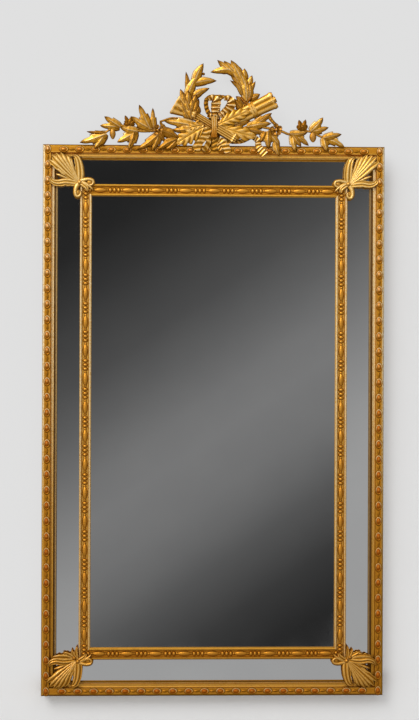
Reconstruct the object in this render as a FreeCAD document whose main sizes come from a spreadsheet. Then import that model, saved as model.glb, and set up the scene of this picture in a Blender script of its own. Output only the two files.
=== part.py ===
"""Giltwood wall mirror with margin plates and a carved trophy crest.

Millimetres, +Z up, front towards -Y, wall plane y = 0, x = 0 on the centre line.
The origin lies on the wall plane, midway between the two hanger bars.
"""
import FreeCAD, Part
import math
import os
import re
import Sketcher

Vector = FreeCAD.Vector

# Driving sizes in millimetres, each set once.
SIZES = {
    "frame_width": 950.0,
    "frame_height": 1528.0,
    "hook_drop": 300.0,
    "wall_gap": 9.0,
    "carcass_thickness": 22.0,
    "carcass_inset": 2.0,
    "carcass_backing": 12.0,
    "carcass_middle_width": 100.0,
    "tenon_length": 60.0,
    "tenon_thickness": 8.0,
    "tenon_shoulder": 20.0,
    "tenon_clearance": 0.2,
    "panel_thickness": 8.0,
    "groove_depth": 10.0,
    "panel_clearance": 0.5,
    "outer_edge_height": 10.0,
    "outer_round": 6.0,
    "oval_band_width": 16.0,
    "cove_radius": 7.0,
    "sight_fillet_width": 4.0,
    "sight_fillet_rise": 2.5,
    "outer_wall": 18.0,
    "key_leg": 30.0,
    "key_thickness": 3.0,
    "key_clearance": 0.2,
    "plate_thickness": 5.0,
    "plate_clearance": 1.0,
    "plate_gap": 0.5,
    "slip_base": 1.0,
    "slip_quirk": 4.0,
    "slip_bead_width": 5.0,
    "margin_side": 103.5,
    "margin_top": 109.5,
    "margin_bottom": 101.0,
    "inner_fillet_width": 6.5,
    "inner_channel_width": 19.0,
    "leaf_lift": 0.25,
    "inner_channel_height": 5.0,
    "inner_tongue_width": 6.0,
    "oval_pitch": 43.4,
    "oval_length": 23.0,
    "oval_width": 15.5,
    "oval_height": 5.5,
    "dart_gap": 2.5,
    "dart_width": 8.0,
    "dart_height": 3.0,
    "bead_pitch": 79.0,
    "bead_end": 46.0,
    "olive_gap": 0.8,
    "olive_width": 12.0,
    "pearl_diameter": 11.3,
    "pearl_gap": 0.2,
    "corner_leaf_depth": 9.0,
    "screw_shank": 4.0,
    "screw_head": 8.0,
    "screw_clearance": 0.2,
    "screw_bite": 8.0,
    "moulding_screw_inset": 9.0,
    "hanger_inset": 72.0,
    "hanger_plate_width": 60.0,
    "hanger_plate_height": 18.0,
    "hanger_plate_thickness": 2.0,
    "hanger_screw_span": 44.0,
    "hanger_screw_length": 16.0,
    "hanger_axis_height": 4.5,
    "lug_width": 14.0,
    "lug_diameter": 7.8,
    "ring_wire": 4.0,
    "ring_span": 30.0,
    "ring_drop": 14.0,
    "ring_clearance": 0.05,
    "bumper_diameter": 24.0,
    "bumper_inset": 70.0,
    "crest_inset": 108.0,
    "tongue_width": 32.0,
    "tongue_thickness": 10.0,
    "tongue_length": 80.0,
    "tongue_clearance": 0.2,
    "pad_width": 28.0,
    "wreath_depth": 10.0,
    "lap_gap": 0.3,
    "front_depth": 9.0,
    "leaf_depth": 6.0,
    "tie_depth": 5.0,
    "tail_depth": 4.0,
}

# Places along each member as shares of its length.
STILE_SCREW_SHARES = (0.15, 0.38, 0.62, 0.85)
RAIL_SCREW_SHARES = (0.22, 0.40, 0.60, 0.78)
INNER_STILE_SCREW_SHARES = (0.20, 0.40, 0.60, 0.80)
INNER_RAIL_SCREW_SHARES = (0.25, 0.50, 0.75)
TONGUE_SCREW_SHARES = (0.30, 0.75)
PAD_SCREW_SHARES = (0.22, 0.58)

# Shares of a carved leaf's depth and of an oval's size.
LEAF_EDGE_SHARE = 0.45
OVAL_TOP_SHARE = 0.62
# An olive's rim as shares of its half length and half width.
OLIVE_SHARES = ((-1, 0), (-0.75, 0.66), (-0.3, 1), (0.3, 1), (0.75, 0.66), (1, 0))

# Corner leaves as shares of the margins, measured outwards from the inner frame's corner.
# Each row is base, tip and width.
CORNER_LOBE_SHARES = (
    (0.02, 0.02, 0.80, 0.72, 0.32),
    (0.04, 0.06, 0.56, 0.76, 0.18),
    (0.06, 0.04, 0.77, 0.50, 0.18),
    (0.00, 0.02, 0.08, 0.76, 0.21),
    (0.02, 0.00, 0.77, 0.15, 0.18),
)
# Each row is centre and radius of a scroll or of the seat on the mitre.
CORNER_SCROLL_SHARES = (
    (-0.26, 0.03, 0.115),
    (0.05, -0.25, 0.110),
    (-0.08, -0.08, 0.170),
)

# The crest is drawn in the photo's pixels and scaled so that it ends crest_inset within the frame.
CREST_CENTRE_PX = 214.6
CREST_FOOT_PX = 145.4
CREST_SPAN_PX = 263.6
STEM_PX = 3.0
# The foot and head of the pad that carries the trophy.
PAD_FOOT_PX = 140.4
PAD_HEAD_PX = 113.0

# Leaves are base, tip and width.
WREATH_LEFT_STEM_PX = ((203, 122), (196, 115), (190, 106), (187, 96), (190, 84), (196, 75))
WREATH_LEFT_LEAVES_PX = (
    (195.4, 77.0, 203.5, 64.3, 5.8),
    (194.6, 79.2, 215.9, 79.8, 6.0),
    (188.0, 95.5, 209.0, 87.3, 5.5),
    (188.3, 89.3, 186.0, 72.4, 4.4),
    (187.4, 97.0, 196.0, 76.0, 6.2),
    (187.5, 98.0, 181.0, 89.8, 4.6),
    (190.5, 109.0, 181.0, 97.5, 6.5),
    (191.5, 110.0, 199.5, 99.5, 6.0),
)
WREATH_RIGHT_STEM_PX = (
    (227, 131), (236, 118), (243, 108), (246, 97), (245, 86), (240, 76), (232, 68), (224, 66),
)
WREATH_RIGHT_LEAVES_PX = (
    (225.5, 66.6, 217.8, 59.3, 5.0),
    (226.0, 67.5, 211.6, 71.8, 5.4),
    (241.4, 77.0, 230.9, 59.1, 6.2),
    (244.0, 82.0, 243.0, 68.6, 5.6),
    (245.0, 90.5, 229.8, 80.5, 6.2),
    (245.0, 83.0, 252.3, 75.3, 4.6),
    (245.8, 91.5, 255.8, 80.9, 5.0),
    (245.8, 98.0, 246.0, 77.0, 8.5),
    (244.5, 98.5, 259.3, 92.8, 5.4),
    (244.0, 104.5, 236.5, 96.3, 5.6),
)
# The torch and the quiver are an axis, then half widths along it.
TORCH_AXIS_PX = (176.2, 104.8, 237.5, 140.7)
TORCH_HALVES_PX = ((0.0, 9.4), (3.0, 9.6), (10.0, 7.2), (17.0, 5.0), (21.0, 5.6), (24.0, 4.4), (71.0, 4.2))
QUIVER_AXIS_PX = (214.0, 129.0, 271.0, 100.7)
QUIVER_HALVES_PX = ((0.0, 5.4), (32.0, 7.4), (57.0, 7.9), (63.6, 8.1))
STRAP_REACH_PX = (41.0, 46.0, 8.6)
# Arrow flights are start, end, offset from the axis and half width.
FLIGHTS_PX = (
    (62.0, 68.0, -5.6, 2.3),
    (62.0, 69.0, 0.0, 2.4),
    (62.0, 67.0, 5.6, 2.3),
)
# Ribbon loops are centre, half width, half height and lean in degrees.
BOW_LOOPS_PX = ((211.2, 105.4, 5.6, 10.6, 8.0), (226.4, 104.9, 6.4, 10.4, -32.0))
BOW_BAND_SHARE = 0.50
BOW_KNOT_PX = ((207.5, 113.5), (215.0, 116.5), (223.0, 112.5))
BOW_KNOT_WIDTH_PX = 5.0
TIE_PX = ((214.0, 117.5), (214.0, 138.0))
TIE_WIDTH_PX = 6.4
TAIL_WIDTH_PX = 6.2
TAILS_PX = (
    ((208.0, 125.5), (206.0, 133.0), (201.0, 139.0), (196.0, 149.0)),
    ((222.0, 135.0), (223.0, 141.0), (226.0, 147.0), (227.5, 154.5)),
    ((234.0, 140.5), (244.0, 142.0), (253.0, 138.5), (258.0, 142.0), (259.5, 147.0), (262.5, 155.0)),
)
CENTRE_LEAVES_PX = (
    (219.6, 130.0, 249.0, 112.5, 11.5),
    (219.6, 129.0, 250.5, 133.5, 9.5),
)
SPRAY_LEFT_STEM_PX = (
    (199, 120), (192, 126), (178, 130), (163, 133), (157, 131), (146, 131),
    (137, 131.5), (128, 127), (121, 127), (112, 130), (104, 135),
)
SPRAY_LEFT_LEAVES_PX = (
    (193.0, 125.5, 168.6, 122.5, 7.6),
    (196.0, 123.0, 176.5, 144.0, 11.0),
    (178.0, 130.0, 162.0, 121.0, 5.0),
    (149.5, 130.5, 139.5, 106.7, 7.6),
    (149.5, 130.5, 132.3, 118.2, 7.0),
    (153.9, 131.0, 153.1, 110.0, 5.6),
    (158.0, 132.0, 138.0, 150.0, 8.4),
    (158.0, 132.0, 152.9, 151.7, 7.4),
    (160.0, 132.5, 172.0, 146.0, 8.0),
    (137.5, 131.5, 118.4, 142.1, 7.0),
    (137.0, 131.5, 130.4, 149.8, 7.0),
    (121.5, 127.0, 106.0, 117.7, 7.4),
    (121.5, 127.0, 101.2, 126.3, 6.6),
    (113.5, 129.5, 113.2, 140.8, 5.0),
    (111.0, 130.5, 88.0, 133.0, 5.4),
    (107.5, 132.7, 81.0, 142.7, 6.4),
    (107.0, 133.0, 95.0, 149.2, 7.0),
)
# Flowers are centre and radius.
SPRAY_LEFT_FLOWERS_PX = ((157.0, 131.0, 4.8), (129.0, 123.5, 4.8))
SPRAY_RIGHT_STEM_PX = (
    (243, 128.5), (252, 125.5), (262, 125), (269, 127), (275, 129.5), (283, 131),
    (290, 134), (302, 130.5), (311, 130), (318, 134), (326, 137),
)
SPRAY_RIGHT_LEAVES_PX = (
    (267.0, 126.0, 248.5, 122.5, 6.0),
    (269.0, 127.0, 280.5, 143.8, 8.4),
    (272.0, 128.5, 272.5, 150.0, 7.6),
    (289.5, 133.8, 308.3, 145.0, 5.6),
    (290.0, 133.8, 293.9, 150.7, 7.0),
    (290.0, 133.8, 284.0, 144.0, 6.0),
    (310.5, 130.0, 322.2, 117.7, 7.8),
    (310.5, 130.0, 327.9, 127.0, 7.0),
    (311.5, 130.5, 313.4, 141.8, 5.4),
    (323.5, 136.0, 340.8, 133.5, 7.0),
    (323.5, 136.0, 344.6, 146.9, 6.2),
    (323.5, 136.0, 327.4, 150.2, 7.0),
)
SPRAY_RIGHT_FLOWERS_PX = ((275.4, 129.4, 5.2), (302.0, 127.0, 5.2))

# Positions that several pieces share, as sums of the driving sizes.
TOP = "hook_drop"
BOTTOM = "(hook_drop - frame_height)"
HALF = "(frame_width / 2)"
CARCASS_FRONT = "(wall_gap + carcass_thickness)"
PLATE_FRONT = "(wall_gap + carcass_thickness + plate_thickness)"
BAND_HEIGHT = "(outer_edge_height + outer_round)"
BAND_END = "(outer_round + oval_band_width)"
COVE_END = "(outer_round + oval_band_width + cove_radius)"
SIGHT = "(outer_round + oval_band_width + cove_radius + sight_fillet_width)"
LIP = "(plate_thickness + slip_base)"
INNER_FACE = "(inner_fillet_width * 2 + inner_channel_width)"
INNER_TONGUE = "((inner_fillet_width * 2 + inner_channel_width - inner_tongue_width) / 2)"
INNER_WIDTH = "(frame_width - margin_side * 2)"
INNER_HEIGHT = "(frame_height - margin_top - margin_bottom)"
BAND_CENTRE = "(outer_round + oval_band_width / 2)"
LEAF_SEAT = "(wall_gap + carcass_thickness + outer_edge_height + outer_round + leaf_lift)"
PAD_FRONT = "(wall_gap + carcass_thickness + wreath_depth)"
LAP = "(wall_gap + carcass_thickness + outer_edge_height + outer_round + oval_height + lap_gap)"
FRONT = "(wall_gap + carcass_thickness + outer_edge_height + outer_round + oval_height + lap_gap + front_depth)"
STILE_WIDTH = "(margin_side + %s + carcass_backing - carcass_inset)" % INNER_FACE
TOP_RAIL_WIDTH = "(margin_top + %s + carcass_backing - carcass_inset)" % INNER_FACE
BOTTOM_RAIL_WIDTH = "(margin_bottom + %s + carcass_backing - carcass_inset)" % INNER_FACE
CREST_SCALE = "((frame_width - crest_inset * 2) / %s)" % CREST_SPAN_PX
PAD_START = "(%s * %s)" % (CREST_SCALE, CREST_FOOT_PX - PAD_FOOT_PX)
PAD_LENGTH = "(%s * %s)" % (CREST_SCALE, PAD_FOOT_PX - PAD_HEAD_PX)

doc = FreeCAD.newDocument("giltwood_mirror")
sheet = doc.addObject("Spreadsheet::Sheet", "sizes")
for row, (alias, number) in enumerate(SIZES.items(), start=1):
    sheet.set("A%d" % row, alias)
    sheet.set("B%d" % row, str(number))
    sheet.setAlias("B%d" % row, alias)
doc.recompute()

nodes = []


def bound(text):
    """Turn a sum of driving sizes into an expression on the sheet."""
    return re.sub(r"[a-z_]+", lambda word: "sizes." + word.group(0), text)


def value(text):
    """Work out a sum of driving sizes as a number."""
    return float(sheet.evalExpression(bound(text)))


def node(obj):
    """Note an object as one exported piece."""
    nodes.append(obj)
    return obj


def feature(label, shape):
    """Hold a shape that is built in code as an object of the document."""
    obj = doc.addObject("Part::Feature", label)
    obj.Shape = shape
    return obj


def box(label, corner, extent):
    """A box from its least corner and its extent, both as sums of sizes."""
    obj = doc.addObject("Part::Box", label)
    for name, text in zip(("Length", "Width", "Height"), extent):
        obj.setExpression(name, bound(text))
    for name, text in zip("xyz", corner):
        obj.setExpression("Placement.Base." + name, bound(text))
    return obj


def cut(label, base, tool):
    """Base less tool."""
    obj = doc.addObject("Part::Cut", label)
    obj.Base = base
    obj.Tool = tool
    return obj


def fuse(label, parts):
    """One solid from several."""
    obj = doc.addObject("Part::MultiFuse", label)
    obj.Shapes = parts
    return obj


def origin_plane(body, role):
    """The named plane of a body's own origin."""
    for entry in body.Origin.OriginFeatures:
        if entry.Role == role:
            return entry
    raise ValueError("no plane " + role)


def pin_point(sketch, index, end, place):
    """Tie a sketch point to the sketch's axes at a place made of sums of sizes."""
    for kind, axis, text in (("DistanceX", -2, place[0]), ("DistanceY", -1, place[1])):
        if text == "0":
            sketch.addConstraint(Sketcher.Constraint("PointOnObject", index, end, axis))
            continue
        row = sketch.addConstraint(Sketcher.Constraint(kind, -1, 1, index, end, value(text)))
        sketch.setExpression("Constraints[%d]" % row, bound(text))


def outline(sketch, corners):
    """Closed outline; each corner is u, v and, for an arc onwards, radius, turn and its centre's v."""
    first = sketch.GeometryCount
    count = len(corners)
    ends = []
    for at, corner in enumerate(corners):
        after = corners[(at + 1) % count]
        start = Vector(value(corner[0]), value(corner[1]), 0)
        stop = Vector(value(after[0]), value(after[1]), 0)
        if len(corner) == 2:
            sketch.addGeometry(Part.LineSegment(start, stop), False)
            ends.append((1, 2))
            continue
        radius = value(corner[2])
        turn = corner[3]
        chord = stop - start
        rise = math.sqrt(max(radius * radius - chord.Length * chord.Length / 4, 0))
        side = Vector(-chord.y, chord.x, 0).normalize()
        middle = start + chord * 0.5 + side * rise * turn
        begin = start if turn > 0 else stop
        finish = stop if turn > 0 else start
        from_angle = math.atan2(begin.y - middle.y, begin.x - middle.x)
        to_angle = math.atan2(finish.y - middle.y, finish.x - middle.x)
        if to_angle < from_angle:
            to_angle = to_angle + 2 * math.pi
        circle = Part.Circle(middle, Vector(0, 0, 1), radius)
        sketch.addGeometry(Part.ArcOfCircle(circle, from_angle, to_angle), False)
        ends.append((1, 2) if turn > 0 else (2, 1))
    for at in range(count):
        after = (at + 1) % count
        joint = Sketcher.Constraint("Coincident", first + at, ends[at][1], first + after, ends[after][0])
        sketch.addConstraint(joint)
    for at, corner in enumerate(corners):
        pin_point(sketch, first + at, ends[at][0], corner)
        if len(corner) > 2:
            level = Sketcher.Constraint("DistanceY", -1, 1, first + at, 3, value(corner[4]))
            row = sketch.addConstraint(level)
            sketch.setExpression("Constraints[%d]" % row, bound(corner[4]))


def new_sketch(body, name, role):
    """A sketch on one plane of a body's origin."""
    sketch = body.newObject("Sketcher::SketchObject", name)
    sketch.AttachmentSupport = [(origin_plane(body, role), "")]
    sketch.MapMode = "FlatFace"
    return sketch


def pocket(body, name, depth, triangles, circles, diameter):
    """Cut triangles or round holes from the back face of a member, all through if depth is none."""
    sketch = new_sketch(body, name + "_sketch", "XZ_Plane")
    for corners in triangles:
        outline(sketch, corners)
    for place in circles:
        spot = Vector(value(place[0]), value(place[1]), 0)
        index = sketch.addGeometry(Part.Circle(spot, Vector(0, 0, 1), value(diameter) / 2), False)
        pin_point(sketch, index, 3, place)
        row = sketch.addConstraint(Sketcher.Constraint("Diameter", index, value(diameter)))
        sketch.setExpression("Constraints[%d]" % row, bound(diameter))
    before = body.Tip.Shape.Volume
    feat = body.newObject("PartDesign::Pocket", name)
    feat.Profile = sketch
    if depth is None:
        feat.Type = "ThroughAll"
    else:
        feat.setExpression("Length", bound(depth))
    doc.recompute()
    if not feat.Shape.Volume < before:
        raise ValueError(name + " removed nothing")


# Members are drawn as u inwards from the outer edge, v forwards and length along the member.
# Each entry gives the directions of u, v and length and the corner they start from.
SIDES = {
    "left": ((1, 0, 0), (0, -1, 0), (0, 0, -1), -1, 1),
    "right": ((-1, 0, 0), (0, -1, 0), (0, 0, 1), 1, -1),
    "top": ((0, 0, -1), (0, -1, 0), (-1, 0, 0), 1, 1),
    "bottom": ((0, 0, 1), (0, -1, 0), (1, 0, 0), -1, -1),
}


def member(label, side, corners, reach, length, seat, insets, holes, keyed):
    """A mitred length of moulding, with screw holes in its back where holes are given."""
    body = doc.addObject("PartDesign::Body", label)
    sketch = new_sketch(body, label + "_profile", "XY_Plane")
    outline(sketch, corners)
    pad = body.newObject("PartDesign::Pad", label + "_pad")
    pad.Profile = sketch
    pad.setExpression("Length", bound(length))
    doc.recompute()
    near = (("0", "0"), (reach, "0"), (reach, reach))
    far = (("0", length), (reach, length), (reach, length + " - " + reach))
    pocket(body, label + "_mitres", None, (near, far), (), None)
    if keyed:
        near_key = (("0", "0"), ("key_leg / 2", "key_leg / 2"), ("0", "key_leg"))
        far_key = (
            ("0", length),
            ("key_leg / 2", length + " - key_leg / 2"),
            ("0", length + " - key_leg"),
        )
        pocket(body, label + "_key_seats", "key_thickness", (near_key, far_key), (), None)
    if holes:
        inset, shares = holes
        places = [(inset, "%s * %s" % (share, length)) for share in shares]
        pocket(body, label + "_pilots", "screw_bite + screw_clearance", (), places, "screw_shank + screw_clearance")
    along, forward, onward, side_x, side_z = SIDES[side]
    turn = FreeCAD.Matrix(
        along[0], forward[0], onward[0], 0,
        along[1], forward[1], onward[1], 0,
        along[2], forward[2], onward[2], 0,
        0, 0, 0, 1,
    )
    body.Placement = FreeCAD.Placement(turn)
    x_sum = "%d * (%s - %s)" % (side_x, HALF, insets[0])
    z_sum = "%s - %s" % (TOP, insets[1]) if side_z > 0 else "%s + %s" % (BOTTOM, insets[2])
    body.setExpression("Placement.Base.x", bound(x_sum))
    body.setExpression("Placement.Base.y", bound("-1 * " + seat))
    body.setExpression("Placement.Base.z", bound(z_sum))
    return node(body)


OUTER_PROFILE = (
    ("0", "0"),
    ("0", "outer_edge_height", "outer_round", -1, "outer_edge_height"),
    ("outer_round", BAND_HEIGHT),
    (BAND_END, BAND_HEIGHT, "cove_radius", 1, BAND_HEIGHT),
    (COVE_END, BAND_HEIGHT + " - cove_radius"),
    (COVE_END, BAND_HEIGHT + " - cove_radius + sight_fillet_rise"),
    (SIGHT, BAND_HEIGHT + " - cove_radius + sight_fillet_rise"),
    (SIGHT, LIP),
    ("outer_wall", LIP),
    ("outer_wall", "0"),
)
SLIP_START = "(outer_wall + plate_clearance - outer_wall)"
SLIP_QUIRK = "(%s + slip_quirk - outer_wall)" % SIGHT
SLIP_END = "(%s + slip_quirk + slip_bead_width - outer_wall)" % SIGHT
SLIP_PROFILE = (
    (SLIP_START, "0"),
    (SLIP_START, "slip_base"),
    (SLIP_QUIRK, "slip_base"),
    (SLIP_QUIRK, "slip_base * 2", "slip_bead_width / 2", -1, "slip_base * 2"),
    (SLIP_END, "slip_base * 2"),
    (SLIP_END, "0"),
)
INNER_TOP = "(outer_edge_height + outer_round + leaf_lift - inner_fillet_width / 2)"
INNER_FLOOR = "(plate_thickness + inner_channel_height)"
INNER_PROFILE = (
    ("0", "plate_thickness"),
    ("0", INNER_TOP, "inner_fillet_width / 2", -1, INNER_TOP),
    ("inner_fillet_width", INNER_TOP),
    ("inner_fillet_width", INNER_FLOOR),
    ("inner_fillet_width + inner_channel_width", INNER_FLOOR),
    ("inner_fillet_width + inner_channel_width", INNER_TOP, "inner_fillet_width / 2", -1, INNER_TOP),
    (INNER_FACE, INNER_TOP),
    (INNER_FACE, "plate_thickness"),
    (INNER_TONGUE + " + inner_tongue_width", "plate_thickness"),
    (INNER_TONGUE + " + inner_tongue_width", "0"),
    (INNER_TONGUE, "0"),
    (INNER_TONGUE, "plate_thickness"),
)
OUTER_HOLES = {
    "left": STILE_SCREW_SHARES,
    "right": STILE_SCREW_SHARES,
    "top": RAIL_SCREW_SHARES,
    "bottom": RAIL_SCREW_SHARES,
}
INNER_HOLES = {
    "left": INNER_STILE_SCREW_SHARES,
    "right": INNER_STILE_SCREW_SHARES,
    "top": INNER_RAIL_SCREW_SHARES,
    "bottom": INNER_RAIL_SCREW_SHARES,
}
NO_INSETS = ("0", "0", "0")
WALL_INSETS = ("outer_wall", "outer_wall", "outer_wall")
INNER_INSETS = ("margin_side", "margin_top", "margin_bottom")
for side in SIDES:
    upright = side in ("left", "right")
    kind = "stile" if upright else "rail"
    span = "frame_height" if upright else "frame_width"
    slip_span = span + " - outer_wall * 2"
    inner_span = INNER_HEIGHT if upright else INNER_WIDTH
    member(
        "outer_%s_%s" % (kind, side), side, OUTER_PROFILE, SIGHT + " * 2", span,
        CARCASS_FRONT, NO_INSETS, ("moulding_screw_inset", OUTER_HOLES[side]), True,
    )
    member(
        "glazing_slip_%s" % side, side, SLIP_PROFILE, SLIP_END + " * 2", slip_span,
        PLATE_FRONT, WALL_INSETS, None, False,
    )
    member(
        "inner_%s_%s" % (kind, side), side, INNER_PROFILE, INNER_FACE + " * 2", inner_span,
        CARCASS_FRONT, INNER_INSETS, (INNER_FACE + " / 2", INNER_HOLES[side]), False,
    )

# Keys let into the back of the outer mitres.
key_shapes = []
leg = value("key_leg - key_clearance * 2")
key_step = value("key_clearance / 2")
for side_x in (-1, 1):
    for side_z in (-1, 1):
        x_corner = side_x * (value(HALF) - key_step)
        z_corner = value(TOP) - key_step if side_z > 0 else value(BOTTOM) + key_step
        y_back = -value(CARCASS_FRONT)
        corners = [
            Vector(x_corner, y_back, z_corner),
            Vector(x_corner - side_x * leg, y_back, z_corner),
            Vector(x_corner, y_back, z_corner - side_z * leg),
        ]
        face = Part.Face(Part.makePolygon(corners + corners[:1]))
        key_shapes.append(face.extrude(Vector(0, -value("key_thickness"), 0)))
node(feature("mitre_keys", Part.makeCompound(key_shapes)))

# Mirror plates: a centre plate and four margin plates butted at the corners.
PLATE_EDGE = "(outer_wall + plate_clearance)"
PLATE_Y = "-1 * " + PLATE_FRONT
MARGIN_REACH = "(%s - plate_gap)" % INNER_TONGUE
CENTRE_REACH = "(%s + inner_tongue_width + plate_gap)" % INNER_TONGUE
node(box(
    "centre_plate",
    ("margin_side + %s - %s" % (CENTRE_REACH, HALF), PLATE_Y, BOTTOM + " + margin_bottom + " + CENTRE_REACH),
    (INNER_WIDTH + " - 2 * " + CENTRE_REACH, "plate_thickness", INNER_HEIGHT + " - 2 * " + CENTRE_REACH),
))
END_PLATE_LENGTH = "frame_width - 2 * " + PLATE_EDGE
node(box(
    "margin_plate_top",
    (PLATE_EDGE + " - " + HALF, PLATE_Y, "%s - margin_top - %s" % (TOP, MARGIN_REACH)),
    (END_PLATE_LENGTH, "plate_thickness", "margin_top + %s - %s" % (MARGIN_REACH, PLATE_EDGE)),
))
node(box(
    "margin_plate_bottom",
    (PLATE_EDGE + " - " + HALF, PLATE_Y, BOTTOM + " + " + PLATE_EDGE),
    (END_PLATE_LENGTH, "plate_thickness", "margin_bottom + %s - %s" % (MARGIN_REACH, PLATE_EDGE)),
))
SIDE_PLATE_FOOT = "%s + margin_bottom + %s + plate_gap" % (BOTTOM, MARGIN_REACH)
SIDE_PLATE_EXTENT = (
    "margin_side + %s - %s" % (MARGIN_REACH, PLATE_EDGE),
    "plate_thickness",
    "%s - 2 * (%s + plate_gap)" % (INNER_HEIGHT, MARGIN_REACH),
)
node(box("margin_plate_left", (PLATE_EDGE + " - " + HALF, PLATE_Y, SIDE_PLATE_FOOT), SIDE_PLATE_EXTENT))
node(box(
    "margin_plate_right",
    ("%s - margin_side - %s" % (HALF, MARGIN_REACH), PLATE_Y, SIDE_PLATE_FOOT),
    SIDE_PLATE_EXTENT,
))


def screw(place, length, spare):
    """A countersunk screw whose head lies flush at place and whose point looks forwards."""
    shank = value("screw_shank") / 2 + spare
    head = value("screw_head") / 2 + spare
    sink = head - shank
    ahead = Vector(0, -1, 0)
    cone = Part.makeCone(head, shank, sink, place, ahead)
    stem = Part.makeCylinder(shank, length + spare, place, ahead)
    return cone.fuse(stem).removeSplitter()


# Screws through the carcass into the mouldings.
inset_mid = value("moulding_screw_inset")
back_plane = -value("wall_gap")
z_top = value(TOP)
z_bottom = value(BOTTOM)
half_width = value(HALF)
inner_mid = value(INNER_FACE) / 2
outer_places = []
for share in STILE_SCREW_SHARES:
    for side_x in (-1, 1):
        height = z_bottom + share * value("frame_height")
        outer_places.append(Vector(side_x * (half_width - inset_mid), back_plane, height))
for share in RAIL_SCREW_SHARES:
    for height in (z_bottom + inset_mid, z_top - inset_mid):
        outer_places.append(Vector(share * value("frame_width") - half_width, back_plane, height))
inner_places = []
inner_side = half_width - value("margin_side") - inner_mid
inner_foot = z_bottom + value("margin_bottom")
inner_head = z_top - value("margin_top")
for share in INNER_STILE_SCREW_SHARES:
    for side_x in (-1, 1):
        inner_places.append(Vector(side_x * inner_side, back_plane, inner_foot + share * value(INNER_HEIGHT)))
for share in INNER_RAIL_SCREW_SHARES:
    for height in (inner_foot + inner_mid, inner_head - inner_mid):
        inner_places.append(Vector((share - 0.5) * value(INNER_WIDTH), back_plane, height))
through = value("carcass_thickness + screw_bite")
spare_bore = value("screw_clearance") / 2
node(feature("outer_frame_screws", Part.makeCompound([screw(spot, through, 0) for spot in outer_places])))
node(feature("inner_frame_screws", Part.makeCompound([screw(spot, through, 0) for spot in inner_places])))

# Crest tongue: a slat let into the carcass head, with a pad that carries the trophy.
tongue_back = -(value(CARCASS_FRONT) - value("tongue_thickness"))
tongue_places = []
for share in TONGUE_SCREW_SHARES:
    tongue_places.append(Vector(0, back_plane, z_top - share * value("tongue_length")))
pad_places = []
for share in PAD_SCREW_SHARES:
    pad_places.append(Vector(0, tongue_back, z_top + value(PAD_START) + share * value(PAD_LENGTH)))
tongue_reach = value("carcass_thickness - tongue_thickness / 4")
pad_reach = value("tongue_thickness + wreath_depth + screw_bite")
tongue_screws = [screw(spot, tongue_reach, 0) for spot in tongue_places]
pad_screws = [screw(spot, pad_reach, 0) for spot in pad_places]
node(feature("crest_screws", Part.makeCompound(tongue_screws + pad_screws)))
tongue_bores = [screw(spot, tongue_reach, spare_bore) for spot in tongue_places]
pad_bores = [screw(spot, pad_reach, spare_bore) for spot in pad_places]
crest_bores = feature("crest_bores", Part.makeCompound(tongue_bores + pad_bores))
slat = box(
    "tongue_slat",
    ("-1 * tongue_width / 2", "-1 * " + CARCASS_FRONT, TOP + " - tongue_length"),
    ("tongue_width", "tongue_thickness", "tongue_length + %s + %s" % (PAD_START, PAD_LENGTH)),
)
lift = box(
    "tongue_pad",
    ("-1 * pad_width / 2", "-1 * " + PAD_FRONT, TOP + " + " + PAD_START),
    ("pad_width", "wreath_depth", PAD_LENGTH),
)
node(cut("crest_tongue", fuse("tongue_blank", [slat, lift]), crest_bores))

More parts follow.
